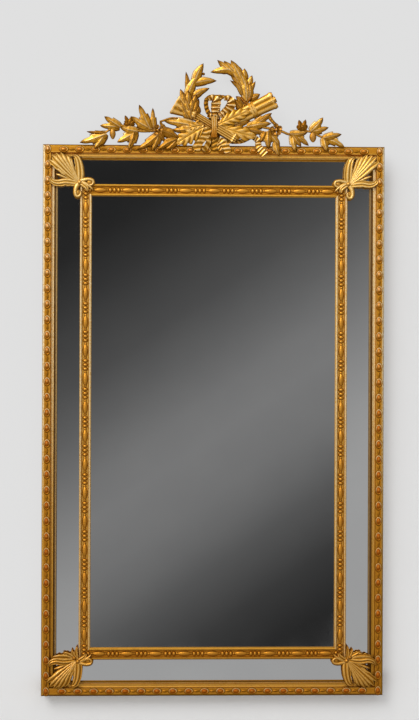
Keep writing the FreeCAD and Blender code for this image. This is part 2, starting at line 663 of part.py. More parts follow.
# Hangers on the carcass stiles: a plate with a lug, and a wire ring that turns in it.
hanger_x = half_width - value("hanger_inset")
axis_y = back_plane + value("hanger_axis_height")
plate_face = back_plane + value("hanger_plate_thickness")
hanger_places = []
for side_x in (-1, 1):
    for side in (-1, 1):
        spot_x = side_x * hanger_x + side * value("hanger_screw_span") / 2
        hanger_places.append(Vector(spot_x, plate_face, 0))
hanger_reach = value("hanger_screw_length")
hanger_bores = feature(
    "hanger_bores",
    Part.makeCompound([screw(spot, hanger_reach, spare_bore) for spot in hanger_places]),
)
node(feature("hanger_screws", Part.makeCompound([screw(spot, hanger_reach, 0) for spot in hanger_places])))
wire = value("ring_wire") / 2
arm = value("ring_span") / 2
drop = value("ring_drop")
for name, side_x in (("left", -1), ("right", 1)):
    centre_sum = "%d * (%s - hanger_inset)" % (side_x, HALF)
    leaf_plate = box(
        "hanger_leaf_" + name,
        (centre_sum + " - hanger_plate_width / 2", "-1 * wall_gap", "-1 * hanger_plate_height / 2"),
        ("hanger_plate_width", "hanger_plate_thickness", "hanger_plate_height"),
    )
    lug = doc.addObject("Part::Cylinder", "hanger_lug_" + name)
    bore = doc.addObject("Part::Cylinder", "hanger_bore_" + name)
    lug.setExpression("Radius", bound("lug_diameter / 2"))
    bore.setExpression("Radius", bound("ring_wire / 2 + ring_clearance"))
    for solid in (lug, bore):
        solid.Placement = FreeCAD.Placement(Vector(0, 0, 0), FreeCAD.Rotation(Vector(0, 1, 0), 90))
        solid.setExpression("Height", bound("lug_width"))
        solid.setExpression("Placement.Base.x", bound(centre_sum + " - lug_width / 2"))
        solid.setExpression("Placement.Base.y", bound("hanger_axis_height - wall_gap"))
    drilled = cut("hanger_drilled_" + name, fuse("hanger_blank_" + name, [leaf_plate, lug]), bore)
    node(cut("hanger_plate_" + name, drilled, hanger_bores))
    hub = Vector(side_x * hanger_x, axis_y, 0)
    along = Vector(1, 0, 0)
    down = Vector(0, 0, -1)
    pieces = [Part.makeCylinder(wire, arm * 2, hub - along * arm, along)]
    for step in (-1, 1):
        turn_point = hub + along * arm * step
        pieces.append(Part.makeSphere(wire, turn_point))
        pieces.append(Part.makeCylinder(wire, drop, turn_point, down))
    bend = Part.makeTorus(arm, wire, hub + down * drop, Vector(0, 1, 0), -180, 180, 360)
    cropping = Part.makeBox(arm * 4, arm * 4, arm * 4, hub + down * drop - Vector(arm * 2, arm * 2, arm * 4))
    pieces.append(bend.common(cropping))
    ring = pieces[0].multiFuse(pieces[1:]).removeSplitter()
    node(feature("hanger_ring_" + name, ring))

# Carcass: framed back of pine with two floating panels.
CARCASS_EDGE = "(%s - carcass_inset)" % HALF
CARCASS_INNER = "(%s - carcass_inset - %s)" % (HALF, STILE_WIDTH)
CARCASS_Y = "-1 * " + CARCASS_FRONT
CARCASS_TOP = "(%s - carcass_inset)" % TOP
CARCASS_FOOT = "(%s + carcass_inset)" % BOTTOM
MIDDLE = "((%s + %s) / 2)" % (TOP, BOTTOM)
TENON_Y = "-1 * (wall_gap + carcass_thickness / 2 + tenon_thickness / 2)"
MORTISE_Y = "-1 * (wall_gap + carcass_thickness / 2 + tenon_thickness / 2 + tenon_clearance)"
RAILS = {
    "top": (CARCASS_TOP + " - " + TOP_RAIL_WIDTH, TOP_RAIL_WIDTH),
    "middle": (MIDDLE + " - carcass_middle_width / 2", "carcass_middle_width"),
    "bottom": (CARCASS_FOOT, BOTTOM_RAIL_WIDTH),
}
GROOVE_Y = "-1 * (wall_gap + carcass_thickness / 2 + panel_thickness / 2 + tenon_clearance)"
GROOVE_WIDTH = "panel_thickness + tenon_clearance * 2"
TOP_RAIL_FOOT = "(%s - %s)" % (CARCASS_TOP, TOP_RAIL_WIDTH)
BOTTOM_RAIL_HEAD = "(%s + %s)" % (CARCASS_FOOT, BOTTOM_RAIL_WIDTH)
carcass_bores = feature(
    "carcass_bores",
    Part.makeCompound([screw(spot, through, spare_bore) for spot in outer_places + inner_places]),
)
for name, side_x in (("left", -1), ("right", 1)):
    blank_x = "-1 * " + CARCASS_EDGE if side_x < 0 else CARCASS_INNER
    blank = box(
        "carcass_stile_blank_" + name,
        (blank_x, CARCASS_Y, CARCASS_FOOT),
        (STILE_WIDTH, "carcass_thickness", CARCASS_TOP + " - " + CARCASS_FOOT),
    )
    cutters = []
    deep = "(tenon_length + tenon_clearance)"
    for rail, (foot, width) in RAILS.items():
        mortise_x = "-1 * %s - %s" % (CARCASS_INNER, deep) if side_x < 0 else CARCASS_INNER
        cutters.append(box(
            "mortise_%s_%s" % (rail, name),
            (mortise_x, MORTISE_Y, foot + " + tenon_shoulder - tenon_clearance"),
            (deep, "tenon_thickness + tenon_clearance * 2", width + " - tenon_shoulder * 2 + tenon_clearance * 2"),
        ))
    groove_x = "-1 * %s - groove_depth" % CARCASS_INNER if side_x < 0 else CARCASS_INNER
    cutters.append(box(
        "stile_groove_" + name,
        (groove_x, GROOVE_Y, BOTTOM_RAIL_HEAD + " - groove_depth"),
        ("groove_depth", GROOVE_WIDTH, "%s - %s + groove_depth * 2" % (TOP_RAIL_FOOT, BOTTOM_RAIL_HEAD)),
    ))
    shaped = cut("carcass_stile_shaped_" + name, blank, fuse("carcass_stile_cutters_" + name, cutters))
    bored = cut("carcass_stile_bored_" + name, shaped, carcass_bores)
    node(cut("carcass_stile_" + name, bored, hanger_bores))
for rail, (foot, width) in RAILS.items():
    blank = box(
        "carcass_rail_blank_" + rail,
        ("-1 * " + CARCASS_INNER, CARCASS_Y, foot),
        (CARCASS_INNER + " * 2", "carcass_thickness", width),
    )
    cutters = []
    grooves = {"top": (foot,), "middle": (foot, foot + " + " + width + " - groove_depth")}
    for at, groove_foot in enumerate(grooves.get(rail, (foot + " + " + width + " - groove_depth",))):
        cutters.append(box(
            "rail_groove_%s_%d" % (rail, at),
            ("-1 * " + CARCASS_INNER, GROOVE_Y, groove_foot),
            (CARCASS_INNER + " * 2", GROOVE_WIDTH, "groove_depth"),
        ))
    if rail == "top":
        cutters.append(box(
            "tongue_notch",
            (
                "-1 * tongue_width / 2 - tongue_clearance",
                CARCASS_Y,
                TOP + " - tongue_length - tongue_clearance",
            ),
            ("tongue_width + tongue_clearance * 2", "tongue_thickness", "tongue_length + tongue_clearance * 2"),
        ))
    tool = cutters[0]
    if len(cutters) > 1:
        tool = fuse("carcass_rail_cutters_" + rail, cutters)
    grooved = cut("carcass_rail_grooved_" + rail, blank, tool)
    tenons = [grooved]
    for name, tenon_x in (("left", "-1 * %s - tenon_length" % CARCASS_INNER), ("right", CARCASS_INNER)):
        tenons.append(box(
            "tenon_%s_%s" % (rail, name),
            (tenon_x, TENON_Y, foot + " + tenon_shoulder"),
            ("tenon_length", "tenon_thickness", width + " - tenon_shoulder * 2"),
        ))
    joined = fuse("carcass_rail_joined_" + rail, tenons)
    bored = cut("carcass_rail_bored_" + rail, joined, carcass_bores)
    node(cut("carcass_rail_" + rail, bored, crest_bores))
PANEL_X = "%s + groove_depth - panel_clearance" % CARCASS_INNER
PANEL_Y = "-1 * (wall_gap + carcass_thickness / 2 + panel_thickness / 2)"
PANEL_SPANS = {
    "upper": (MIDDLE + " + carcass_middle_width / 2", TOP_RAIL_FOOT),
    "lower": (BOTTOM_RAIL_HEAD, MIDDLE + " - carcass_middle_width / 2"),
}
for name, (low, high) in PANEL_SPANS.items():
    node(box(
        "carcass_panel_" + name,
        ("-1 * (%s)" % PANEL_X, PANEL_Y, low + " - groove_depth + panel_clearance"),
        ("2 * (%s)" % PANEL_X, "panel_thickness", "%s - (%s) + 2 * (groove_depth - panel_clearance)" % (high, low)),
    ))

# Felt bumpers at the foot keep the back off the wall.
bumper_shapes = []
for side_x in (-1, 1):
    spot = Vector(side_x * (half_width - value("bumper_inset")), back_plane, z_bottom + value("bumper_inset"))
    bumper_shapes.append(Part.makeCylinder(value("bumper_diameter") / 2, value("wall_gap"), spot, Vector(0, 1, 0)))
node(feature("wall_bumpers", Part.makeCompound(bumper_shapes)))


def relief(points, depth, seat):
    """A flat outline given by x and z places, raised forwards from its seat."""
    corners = [Vector(x, -seat, z) for x, z in points]
    return Part.Face(Part.makePolygon(corners + corners[:1])).extrude(Vector(0, -depth, 0))


def leaf(base, tip, width, depth, seat):
    """A pointed leaf with a ridge along its middle, flat at the back."""
    run = math.hypot(tip[0] - base[0], tip[1] - base[1])
    cosine = (tip[0] - base[0]) / run
    sine = (tip[1] - base[1]) / run
    half = min(width, run * 0.9) / 2
    edge = depth * LEAF_EDGE_SHARE
    near = Vector(0, 0, 0)
    far = Vector(run, 0, 0)
    upper = Part.Arc(near, Vector(run / 2, half, 0), far).toShape()
    lower = Part.Arc(far, Vector(run / 2, -half, 0), near).toShape()
    lens = Part.Face(Part.Wire([upper, lower])).extrude(Vector(0, 0, depth))
    section = [
        Vector(0, -half, 0),
        Vector(0, half, 0),
        Vector(0, half, edge),
        Vector(0, 0, depth),
        Vector(0, -half, edge),
    ]
    roof = Part.Face(Part.makePolygon(section + section[:1])).extrude(Vector(run, 0, 0))
    shape = lens.common(roof)
    shape.Placement = FreeCAD.Placement(FreeCAD.Matrix(
        cosine, -sine, 0, base[0],
        0, 0, -1, -seat,
        sine, cosine, 0, base[1],
        0, 0, 0, 1,
    ))
    return shape


def strip(points, widths, depth, seat):
    """A band along a run of places, as wide as given at each place."""
    left = []
    right = []
    last = len(points) - 1
    for at, (x, z) in enumerate(points):
        back = points[max(at - 1, 0)]
        ahead = points[min(at + 1, last)]
        run = math.hypot(ahead[0] - back[0], ahead[1] - back[1])
        side_x = -(ahead[1] - back[1]) / run * widths[at] / 2
        side_z = (ahead[0] - back[0]) / run * widths[at] / 2
        left.append((x + side_x, z + side_z))
        right.append((x - side_x, z - side_z))
    return relief(left + right[::-1], depth, seat)


def merged(label, shapes):
    """One carved solid from its overlapping leaves, stems and flowers."""
    whole = shapes[0].multiFuse(shapes[1:]).removeSplitter()
    if len(whole.Solids) != 1:
        raise ValueError("%s falls into %d solids" % (label, len(whole.Solids)))
    return node(feature(label, whole.Solids[0]))


# Ovals and darts on the outer band, one run to each side.
band_front = value("%s + %s" % (CARCASS_FRONT, BAND_HEIGHT))
band_mid = value(BAND_CENTRE)


def oval(spot, upright):
    """A low oval boss, flat at the back, tapering to a smaller top."""
    rings = []
    for share, rise in ((1, 0), (OVAL_TOP_SHARE, value("oval_height"))):
        half_long = value("oval_length") / 2 * share
        half_wide = value("oval_width") / 2 * share
        centre = Vector(spot[0], -band_front - rise, spot[1])
        long_way = Vector(0, 0, half_long) if upright else Vector(half_long, 0, 0)
        wide_way = Vector(half_wide, 0, 0) if upright else Vector(0, 0, half_wide)
        curve = Part.Ellipse(centre + long_way, centre + wide_way, centre)
        rings.append(Part.Wire([curve.toShape()]))
    return Part.makeLoft(rings, True, True)


def dart(spot, upright, pitch):
    """A small ridged dart that fills the space between two ovals."""
    reach = (pitch - value("oval_length + dart_gap * 2")) / 2
    step = (0, reach) if upright else (reach, 0)
    start = (spot[0] - step[0], spot[1] - step[1])
    stop = (spot[0] + step[0], spot[1] + step[1])
    return leaf(start, stop, value("dart_width"), value("dart_height"), band_front)


side_steps = max(round((value("frame_height") - band_mid * 2) / value("oval_pitch")), 2)
end_steps = max(round((value("frame_width") - band_mid * 2) / value("oval_pitch")), 2)
side_pitch = (value("frame_height") - band_mid * 2) / side_steps
end_pitch = (value("frame_width") - band_mid * 2) / end_steps
for name, x_place in (("left", band_mid - half_width), ("right", half_width - band_mid)):
    shapes = []
    for step in range(side_steps + 1):
        shapes.append(oval((x_place, z_bottom + band_mid + step * side_pitch), True))
    for step in range(side_steps):
        shapes.append(dart((x_place, z_bottom + band_mid + (step + 0.5) * side_pitch), True, side_pitch))
    node(feature("oval_run_" + name, Part.makeCompound(shapes)))
for name, z_place in (("top", z_top - band_mid), ("bottom", z_bottom + band_mid)):
    shapes = []
    for step in range(1, end_steps):
        shapes.append(oval((band_mid - half_width + step * end_pitch, z_place), False))
    for step in range(1, end_steps - 1):
        shapes.append(dart((band_mid - half_width + (step + 0.5) * end_pitch, z_place), False, end_pitch))
    node(feature("oval_run_" + name, Part.makeCompound(shapes)))

# Bead and reel in the inner frame's channel, one run to each side.
floor_front = value("%s + inner_channel_height" % PLATE_FRONT)


def olive(spot, upright):
    """Half of a long spindle, flat on the channel floor, between two sets of pearls."""
    reach = value("bead_pitch - pearl_diameter * 3 - pearl_gap * 2 - olive_gap * 2") / 2
    girth = value("olive_width") / 2
    rim = [Vector(reach * along, 0, girth * height) for along, height in OLIVE_SHARES]
    half = Part.Face(Part.makePolygon(rim + rim[:1]))
    shape = half.revolve(Vector(0, 0, 0), Vector(1, 0, 0), 180)
    if upright:
        shape.rotate(Vector(0, 0, 0), Vector(0, 1, 0), 90)
    shape.translate(Vector(spot[0], -floor_front, spot[1]))
    return shape


def pearl(spot):
    """Half of a round bead, flat on the channel floor."""
    centre = Vector(spot[0], -floor_front, spot[1])
    return Part.makeSphere(value("pearl_diameter") / 2, centre, Vector(0, -1, 0), 0, 90, 360)


inner_middle = (inner_foot + inner_head) / 2
pearl_pitch = value("pearl_diameter + pearl_gap")
bead_pitch = value("bead_pitch")
for side in SIDES:
    upright = side in ("left", "right")
    length = value(INNER_HEIGHT if upright else INNER_WIDTH)
    count = max(int((length - 2 * value("bead_end")) / bead_pitch), 2)
    spots = []
    for step in range(count):
        spots.append((step - (count - 1) / 2) * bead_pitch)
    reels = [(offset + bead_pitch / 2) for offset in spots]
    reels.append(spots[0] - bead_pitch / 2)
    cross = inner_side if upright else (inner_head - inner_mid if side == "top" else inner_foot + inner_mid)
    cross = -cross if side == "left" else cross
    shapes = []
    for offset in reels:
        spot = (cross, inner_middle + offset) if upright else (offset, cross)
        shapes.append(olive(spot, upright))
    for offset in spots:
        for nudge in (-1, 0, 1):
            along = offset + nudge * pearl_pitch
            spot = (cross, inner_middle + along) if upright else (along, cross)
            shapes.append(pearl(spot))
    node(feature("bead_run_" + side, Part.makeCompound(shapes)))

# Acanthus leaves that reach from the inner frame's corners to the outer frame.
leaf_seat = value(LEAF_SEAT)
corner_depth = value("corner_leaf_depth")
margin_side = value("margin_side")
for end, margin, corner_z, side_z in (
    ("top", value("margin_top"), inner_head, 1),
    ("bottom", value("margin_bottom"), inner_foot, -1),
):
    for name, side_x in (("left", -1), ("right", 1)):
        corner_x = side_x * (half_width - margin_side)
        shapes = []
        for across, rise, radius in CORNER_SCROLL_SHARES:
            centre = Vector(corner_x + side_x * across * margin_side, -leaf_seat, corner_z + side_z * rise * margin)
            shapes.append(Part.makeCylinder(radius * margin_side, corner_depth, centre, Vector(0, -1, 0)))
        for base_x, base_z, tip_x, tip_z, width in CORNER_LOBE_SHARES:
            base = (corner_x + side_x * base_x * margin_side, corner_z + side_z * base_z * margin)
            tip = (corner_x + side_x * tip_x * margin_side, corner_z + side_z * tip_z * margin)
            shapes.append(leaf(base, tip, width * margin_side, corner_depth, leaf_seat))
        merged("corner_leaf_%s_%s" % (end, name), shapes)

# The crest: laurel, torch, quiver, ribbons and leafy sprays in layers.
crest_scale = value(CREST_SCALE)


def placed(x_px, y_px):
    """A pixel of the crest as x and z on the model."""
    return ((x_px - CREST_CENTRE_PX) * crest_scale, z_top + (CREST_FOOT_PX - y_px) * crest_scale)


def branch(label, stem_px, leaves_px, flowers_px, depth, seat):
    """A stem with its leaves and flowers."""
    stem = [placed(*point) for point in stem_px]
    shapes = [strip(stem, [STEM_PX * crest_scale] * len(stem), depth, seat)]
    for base_x, base_y, tip_x, tip_y, width in leaves_px:
        shapes.append(leaf(placed(base_x, base_y), placed(tip_x, tip_y), width * crest_scale, depth, seat))
    for x_px, y_px, radius in flowers_px:
        x, z = placed(x_px, y_px)
        shapes.append(Part.makeCylinder(radius * crest_scale, depth, Vector(x, -seat, z), Vector(0, -1, 0)))
    merged(label, shapes)


def along_axis(axis_px, reach, offset):
    """A place at a distance along an axis and an offset to its right, in pixels."""
    start_x, start_y, stop_x, stop_y = axis_px
    run = math.hypot(stop_x - start_x, stop_y - start_y)
    step_x = (stop_x - start_x) / run
    step_y = (stop_y - start_y) / run
    return placed(start_x + step_x * reach - step_y * offset, start_y + step_y * reach + step_x * offset)


def turned(axis_px, halves_px, depth, seat):
    """A shaft of changing width along an axis."""
    upper = [along_axis(axis_px, reach, -half) for reach, half in halves_px]
    lower = [along_axis(axis_px, reach, half) for reach, half in halves_px]
    return relief(upper + lower[::-1], depth, seat)


wreath_seat = value(CARCASS_FRONT)
torch_seat = value(PAD_FRONT)
lap_seat = value(LAP)
front_seat = value(FRONT)
front_depth = value("front_depth")
branch(
    "crest_laurel_left", WREATH_LEFT_STEM_PX, WREATH_LEFT_LEAVES_PX, (), value("wreath_depth"), wreath_seat,
)
branch(
    "crest_laurel_right", WREATH_RIGHT_STEM_PX, WREATH_RIGHT_LEAVES_PX, (), value("wreath_depth"), wreath_seat,
)
branch(
    "crest_spray_left", SPRAY_LEFT_STEM_PX, SPRAY_LEFT_LEAVES_PX, SPRAY_LEFT_FLOWERS_PX, front_depth, lap_seat,
)
branch(
    "crest_spray_right", SPRAY_RIGHT_STEM_PX, SPRAY_RIGHT_LEAVES_PX, SPRAY_RIGHT_FLOWERS_PX, front_depth, lap_seat,
)
torch_depth = lap_seat - torch_seat
torch_blank = feature("crest_torch_blank", turned(TORCH_AXIS_PX, TORCH_HALVES_PX, torch_depth, torch_seat))
node(cut("crest_torch", torch_blank, crest_bores))
quiver = [turned(QUIVER_AXIS_PX, QUIVER_HALVES_PX, front_depth, lap_seat)]
strap_from, strap_to, strap_half = STRAP_REACH_PX
quiver.append(turned(QUIVER_AXIS_PX, ((strap_from, strap_half), (strap_to, strap_half)), front_depth, lap_seat))
for flight_from, flight_to, offset, half in FLIGHTS_PX:
    corners = (
        (flight_from, offset - half),
        (flight_to, offset - half),
        (flight_to, offset + half),
        (flight_from, offset + half),
    )
    quiver.append(relief([along_axis(QUIVER_AXIS_PX, *corner) for corner in corners], front_depth, lap_seat))
merged("crest_quiver", quiver)
bow = [strip([placed(*point) for point in BOW_KNOT_PX], [BOW_KNOT_WIDTH_PX * crest_scale] * 3, torch_depth, torch_seat)]
for x_px, y_px, half_wide, half_high, lean in BOW_LOOPS_PX:
    x, z = placed(x_px, y_px)
    sizes_px = ((half_wide, half_high), (half_wide * BOW_BAND_SHARE, half_high - half_wide * BOW_BAND_SHARE))
    solids = []
    for wide, high in sizes_px:
        centre = Vector(x, -torch_seat, z)
        tall = Vector(0, 0, high * crest_scale)
        broad = Vector(wide * crest_scale, 0, 0)
        ring = Part.Wire([Part.Ellipse(centre + tall, centre + broad, centre).toShape()])
        solid = Part.Face(ring).extrude(Vector(0, -torch_depth, 0))
        solid.rotate(centre, Vector(0, 1, 0), -lean)
        solids.append(solid)
    bow.append(solids[0].cut(solids[1]))
merged("crest_ribbon_bow", bow)
tie_path = [placed(*point) for point in TIE_PX]
merged("crest_tie", [strip(tie_path, [TIE_WIDTH_PX * crest_scale] * 2, value("tie_depth"), front_seat)])
tails = []
for tail_px in TAILS_PX:
    path = [placed(*point) for point in tail_px]
    tails.append(strip(path, [TAIL_WIDTH_PX * crest_scale] * len(path), value("tail_depth"), lap_seat))
node(feature("crest_ribbon_tails", Part.makeCompound(tails)))
centre_shapes = []
for base_x, base_y, tip_x, tip_y, width in CENTRE_LEAVES_PX:
    centre_shapes.append(leaf(
        placed(base_x, base_y), placed(tip_x, tip_y), width * crest_scale, value("leaf_depth"), front_seat,
    ))
merged("crest_centre_leaves", centre_shapes)

doc.recompute()
os.makedirs("parts", exist_ok=True)
for obj in doc.Objects:
    if "Invalid" in obj.State or "Error" in obj.State:
        raise ValueError("%s is %s" % (obj.Label, obj.State))
for obj in nodes:
    if obj.Shape.isNull() or not obj.Shape.isValid():
        raise ValueError("%s has no sound shape" % obj.Label)
    obj.Shape.exportStep("parts/%s.step" % obj.Label)
print("%d pieces" % len(nodes))
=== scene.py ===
"""Giltwood wall mirror: carving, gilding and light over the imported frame. Metres, front towards -Y."""
import math

import bmesh
import bpy
from mathutils import Matrix, Vector


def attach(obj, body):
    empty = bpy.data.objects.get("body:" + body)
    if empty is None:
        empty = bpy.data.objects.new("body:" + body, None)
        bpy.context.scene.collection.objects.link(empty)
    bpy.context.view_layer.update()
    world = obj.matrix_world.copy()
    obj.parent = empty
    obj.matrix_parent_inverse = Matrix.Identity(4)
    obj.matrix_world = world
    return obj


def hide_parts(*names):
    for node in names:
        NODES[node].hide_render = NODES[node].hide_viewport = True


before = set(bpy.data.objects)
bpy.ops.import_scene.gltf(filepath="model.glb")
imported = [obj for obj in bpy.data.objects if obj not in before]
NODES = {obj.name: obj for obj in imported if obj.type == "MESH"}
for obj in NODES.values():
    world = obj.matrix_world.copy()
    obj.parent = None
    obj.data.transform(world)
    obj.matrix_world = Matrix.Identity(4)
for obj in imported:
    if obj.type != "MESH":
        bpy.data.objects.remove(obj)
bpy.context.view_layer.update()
SCENE = bpy.context.scene
ROOT = "mirror"
MM = 0.001

# Depths of the layers, measured forwards from the wall.
BAND = 47.0 * MM
FLOOR = 41.0 * MM
SEAT = 47.25 * MM
GLASS = 36.0 * MM
LAUREL = 31.0 * MM
TORCH = 41.0 * MM
LAP = 52.8 * MM
FRONT = 61.8 * MM
LIMIT = 67.6 * MM

# The frame's edges.
HALF = 475.0 * MM
TOP = 300.0 * MM
FOOT = -1228.0 * MM
INNER_HALF = 371.5 * MM
INNER_TOP = 190.5 * MM
INNER_FOOT = -1127.0 * MM
OUTER_BOX = (HALF, TOP, FOOT)
INNER_BOX = (INNER_HALF, INNER_TOP, INNER_FOOT)
CHANNEL = 16.0 * MM
OUTER_WIDTH = 33 * MM
INNER_WIDTH = 32 * MM
SLIP_END = 42 * MM

# The crest is placed by pixels of the photograph.
PX = 734.0 / 263.6 * MM
CENTRE_PX = 214.6
FOOT_PX = 145.4


def at(px, py):
    """A pixel of the crest as x and z."""
    return ((px - CENTRE_PX) * PX, TOP + (FOOT_PX - py) * PX)


def places(points):
    return [at(*point) for point in points]


def smooth(low, high, value):
    t = min(max((value - low) / (high - low), 0.0), 1.0)
    return t * t * (3 - 2 * t)


def bump(value, centre, width):
    return math.exp(-((value - centre) / width) ** 2)


class Wire:
    """An output in a node tree. Sums of wires make math nodes, so that a shader reads as arithmetic."""

    def __init__(self, tree, socket):
        self.tree = tree
        self.socket = socket

    def math(self, kind, other=0.0):
        return wire(self.tree, "ShaderNodeMath", {0: self, 1: other}, operation=kind)

    def __add__(self, other):
        return self.math("ADD", other)

    def __sub__(self, other):
        return self.math("SUBTRACT", other)

    def __rsub__(self, number):
        return wire(self.tree, "ShaderNodeMath", {0: number, 1: self}, operation="SUBTRACT")

    def __mul__(self, other):
        return self.math("MULTIPLY", other)

    def __truediv__(self, other):
        return self.math("DIVIDE", other)

    def least(self, other):
        return self.math("MINIMUM", other)

    def most(self, other):
        return self.math("MAXIMUM", other)

    def clamped(self):
        """Holds the math node behind the wire to 0 to 1."""
        self.socket.node.use_clamp = True
        return self

    def stretch(self, low, high, to_low=0.0, to_high=1.0):
        """An S-curve from one range to another."""
        inputs = {0: self, 1: low, 2: high, 3: to_low, 4: to_high}
        return wire(self.tree, "ShaderNodeMapRange", inputs, interpolation_type="SMOOTHSTEP")

    def ramp(self, stops):
        """A colour ramp; each stop is its place and three parts."""
        node = put(self.tree, "ShaderNodeValToRGB", {0: self})
        elements = node.color_ramp.elements
        while len(elements) < len(stops):
            elements.new(0.5)
        for element, (place, *colour) in zip(elements, stops):
            element.position = place
            element.color = (*colour, 1.0)
        return Wire(self.tree, node.outputs[0])

    def noise(self, scale, detail=3.0, rough=0.55):
        inputs = {"Vector": self, "Scale": scale, "Detail": detail, "Roughness": rough}
        return wire(self.tree, "ShaderNodeTexNoise", inputs)

    def split(self, kind="XYZ"):
        node = put(self.tree, "ShaderNodeSeparate" + kind, {0: self})
        return [Wire(self.tree, socket) for socket in node.outputs]


def plug(node, tree, inputs):
    """Sets inputs of a node; each may be a number, a colour or a wire."""
    for name, value in inputs.items():
        if isinstance(value, Wire):
            tree.links.new(value.socket, node.inputs[name])
        else:
            node.inputs[name].default_value = value


def put(tree, kind, inputs=None, **settings):
    node = tree.nodes.new(kind)
    for name, value in settings.items():
        setattr(node, name, value)
    plug(node, tree, inputs or {})
    return node


def wire(tree, kind, inputs=None, out=0, **settings):
    return Wire(tree, put(tree, kind, inputs, **settings).outputs[out])


def blend(share, a, b):
    return wire(share.tree, "ShaderNodeMix", {0: share, 6: a, 7: b}, 2, data_type="RGBA")


def cleared(block):
    """The empty node tree of a material or a world."""
    block.use_nodes = True
    block.node_tree.nodes.clear()
    return block.node_tree


def new_material(name):
    """A material, its shader and the place on the object."""
    material = bpy.data.materials.new(name)
    tree = cleared(material)
    shader = put(tree, "ShaderNodeBsdfPrincipled")
    put(tree, "ShaderNodeOutputMaterial", {0: Wire(tree, shader.outputs[0])})
    return material, shader, wire(tree, "ShaderNodeTexCoord", out="Object")


def emboss(shader, height, distance, strength=1.0):
    inputs = {"Height": height, "Distance": distance, "Strength": strength}
    plug(shader, height.tree, {"Normal": wire(height.tree, "ShaderNodeBump", inputs)})


# Colours of the gilding: GOLD_LIGHT, GOLD_WARM and PALE colour wear and painted highlights, and the darkest
# colour is painted shade as well as dirt.
GOLD_LIGHT = (0.93, 0.66, 0.30, 1.0)
GOLD_WARM = (0.82, 0.46, 0.078, 1.0)
GOLD = (0.73, 0.35, 0.030, 1.0)
GOLD_DEEP = (0.42, 0.155, 0.008, 1.0)
BOLE = (0.46, 0.108, 0.006, 1.0)
DIRT_AND_SHADE = (0.13, 0.045, 0.0015, 1.0)
PALE = (1.0, 0.84, 0.54, 1.0)


def gild(shader, where, tones, light=GOLD_LIGHT, body=GOLD, occlusion_shade_and_dirt=0.7, alone=False):
    """Leaf gold over red bole: wear and painted highlights on edges, worn through in patches,
    painted shade and dirt in the recesses, and painted shade towards the foot.

    tones are shade and dirt, wear and highlight, and bole. The strength after body is how strongly
    ambient occlusion paints shade and dirt where other work stands close, and alone leaves other pieces
    out of that."""
    shade_and_dirt, wear_and_highlight, bole = tones
    cloud = where.noise(38.0, 4.0)
    grain = where.noise(420.0, 3.0, 0.6)
    worn = where.noise(150.0, 4.0, 0.65)
    height = where.split()[2]
    colour = blend(cloud.stretch(0.35, 0.7, 0.0, 0.25), body, GOLD_DEEP)
    # The shine fades towards the foot: painted falloff of light.
    polish_with_falloff = grain.stretch(0.2, 0.6) * height.stretch(-1.1, -0.1, 0.78, 1.0)
    glint = (polish_with_falloff * wear_and_highlight).clamped()
    # Glint lightens the colour where the gold is worn bright: wear and painted highlight together.
    colour = blend((glint * 1.6).clamped(), colour, GOLD_WARM)
    colour = blend(glint.math("POWER", 2.2), colour, light)
    through = worn.stretch(0.56, 0.74) * 0.55
    bole = height.stretch(-0.3, -1.1, 0.0, 0.12) + bole
    redness = bole.most(through * (1.0 - wear_and_highlight))
    redness = (redness * worn.stretch(0.2, 0.52, 0.55, 1.0)).clamped()
    colour = blend(redness, colour, BOLE)
    # Ambient occlusion darkens where work stands close: painted shade, with dirt.
    nearby = {"Distance": 0.012}
    air = wire(where.tree, "ShaderNodeAmbientOcclusion", nearby, "AO", samples=6, only_local=alone)
    crevice = air.stretch(0.80, 0.25, 0.0, occlusion_shade_and_dirt)
    shade = (grain.stretch(0.25, 0.7, 1.0, 0.75) * shade_and_dirt + crevice).clamped()
    colour = blend(shade * 0.92, colour, DIRT_AND_SHADE)
    # The colour darkens towards the foot: painted falloff of light.
    falloff_scale = {0: colour, "Scale": height * 0.16 + 1.0}
    colour = wire(where.tree, "ShaderNodeVectorMath", falloff_scale, operation="SCALE")
    dull = (redness * 0.75).most(shade * 0.7).clamped()
    # Metallic and coat follow the glint, so painted highlights also turn paler and glossier.
    plug(shader, where.tree, {
        "Base Color": colour,
        "Metallic": (0.95 - redness.most(glint) * 0.6).clamped(),
        "Roughness": grain.stretch(0.2, 0.8, 0.28, 0.42) + dull * 0.2,
        "Coat Weight": glint.stretch(0.15, 0.8, 0.0, 0.9),
        "Coat Roughness": 0.22,
        "Coat IOR": 1.7,
        "Specular IOR Level": 0.1,
        "Specular Tint": (1.0, 0.72, 0.32, 1.0),
    })
    emboss(shader, worn + grain * 0.5, 0.0004, 0.6)


def carved_gold(name, light=GOLD_LIGHT, body=GOLD, occlusion_shade_and_dirt=0.7, alone=False):
    """Gilding that follows the tones stored on the carved meshes."""
    material, shader, where = new_material(name)
    tone = wire(where.tree, "ShaderNodeAttribute", out="Color", attribute_name="tone")
    gild(shader, where, tone.split("Color"), light, body, occlusion_shade_and_dirt, alone)
    return material


def edge_distances(where, half, top, foot):
    """How far a place lies inwards from the nearest side and the nearest end of an upright rectangle."""
    x, _, z = where.split()
    return half - x.math("ABSOLUTE"), (top - z).least(z - foot)


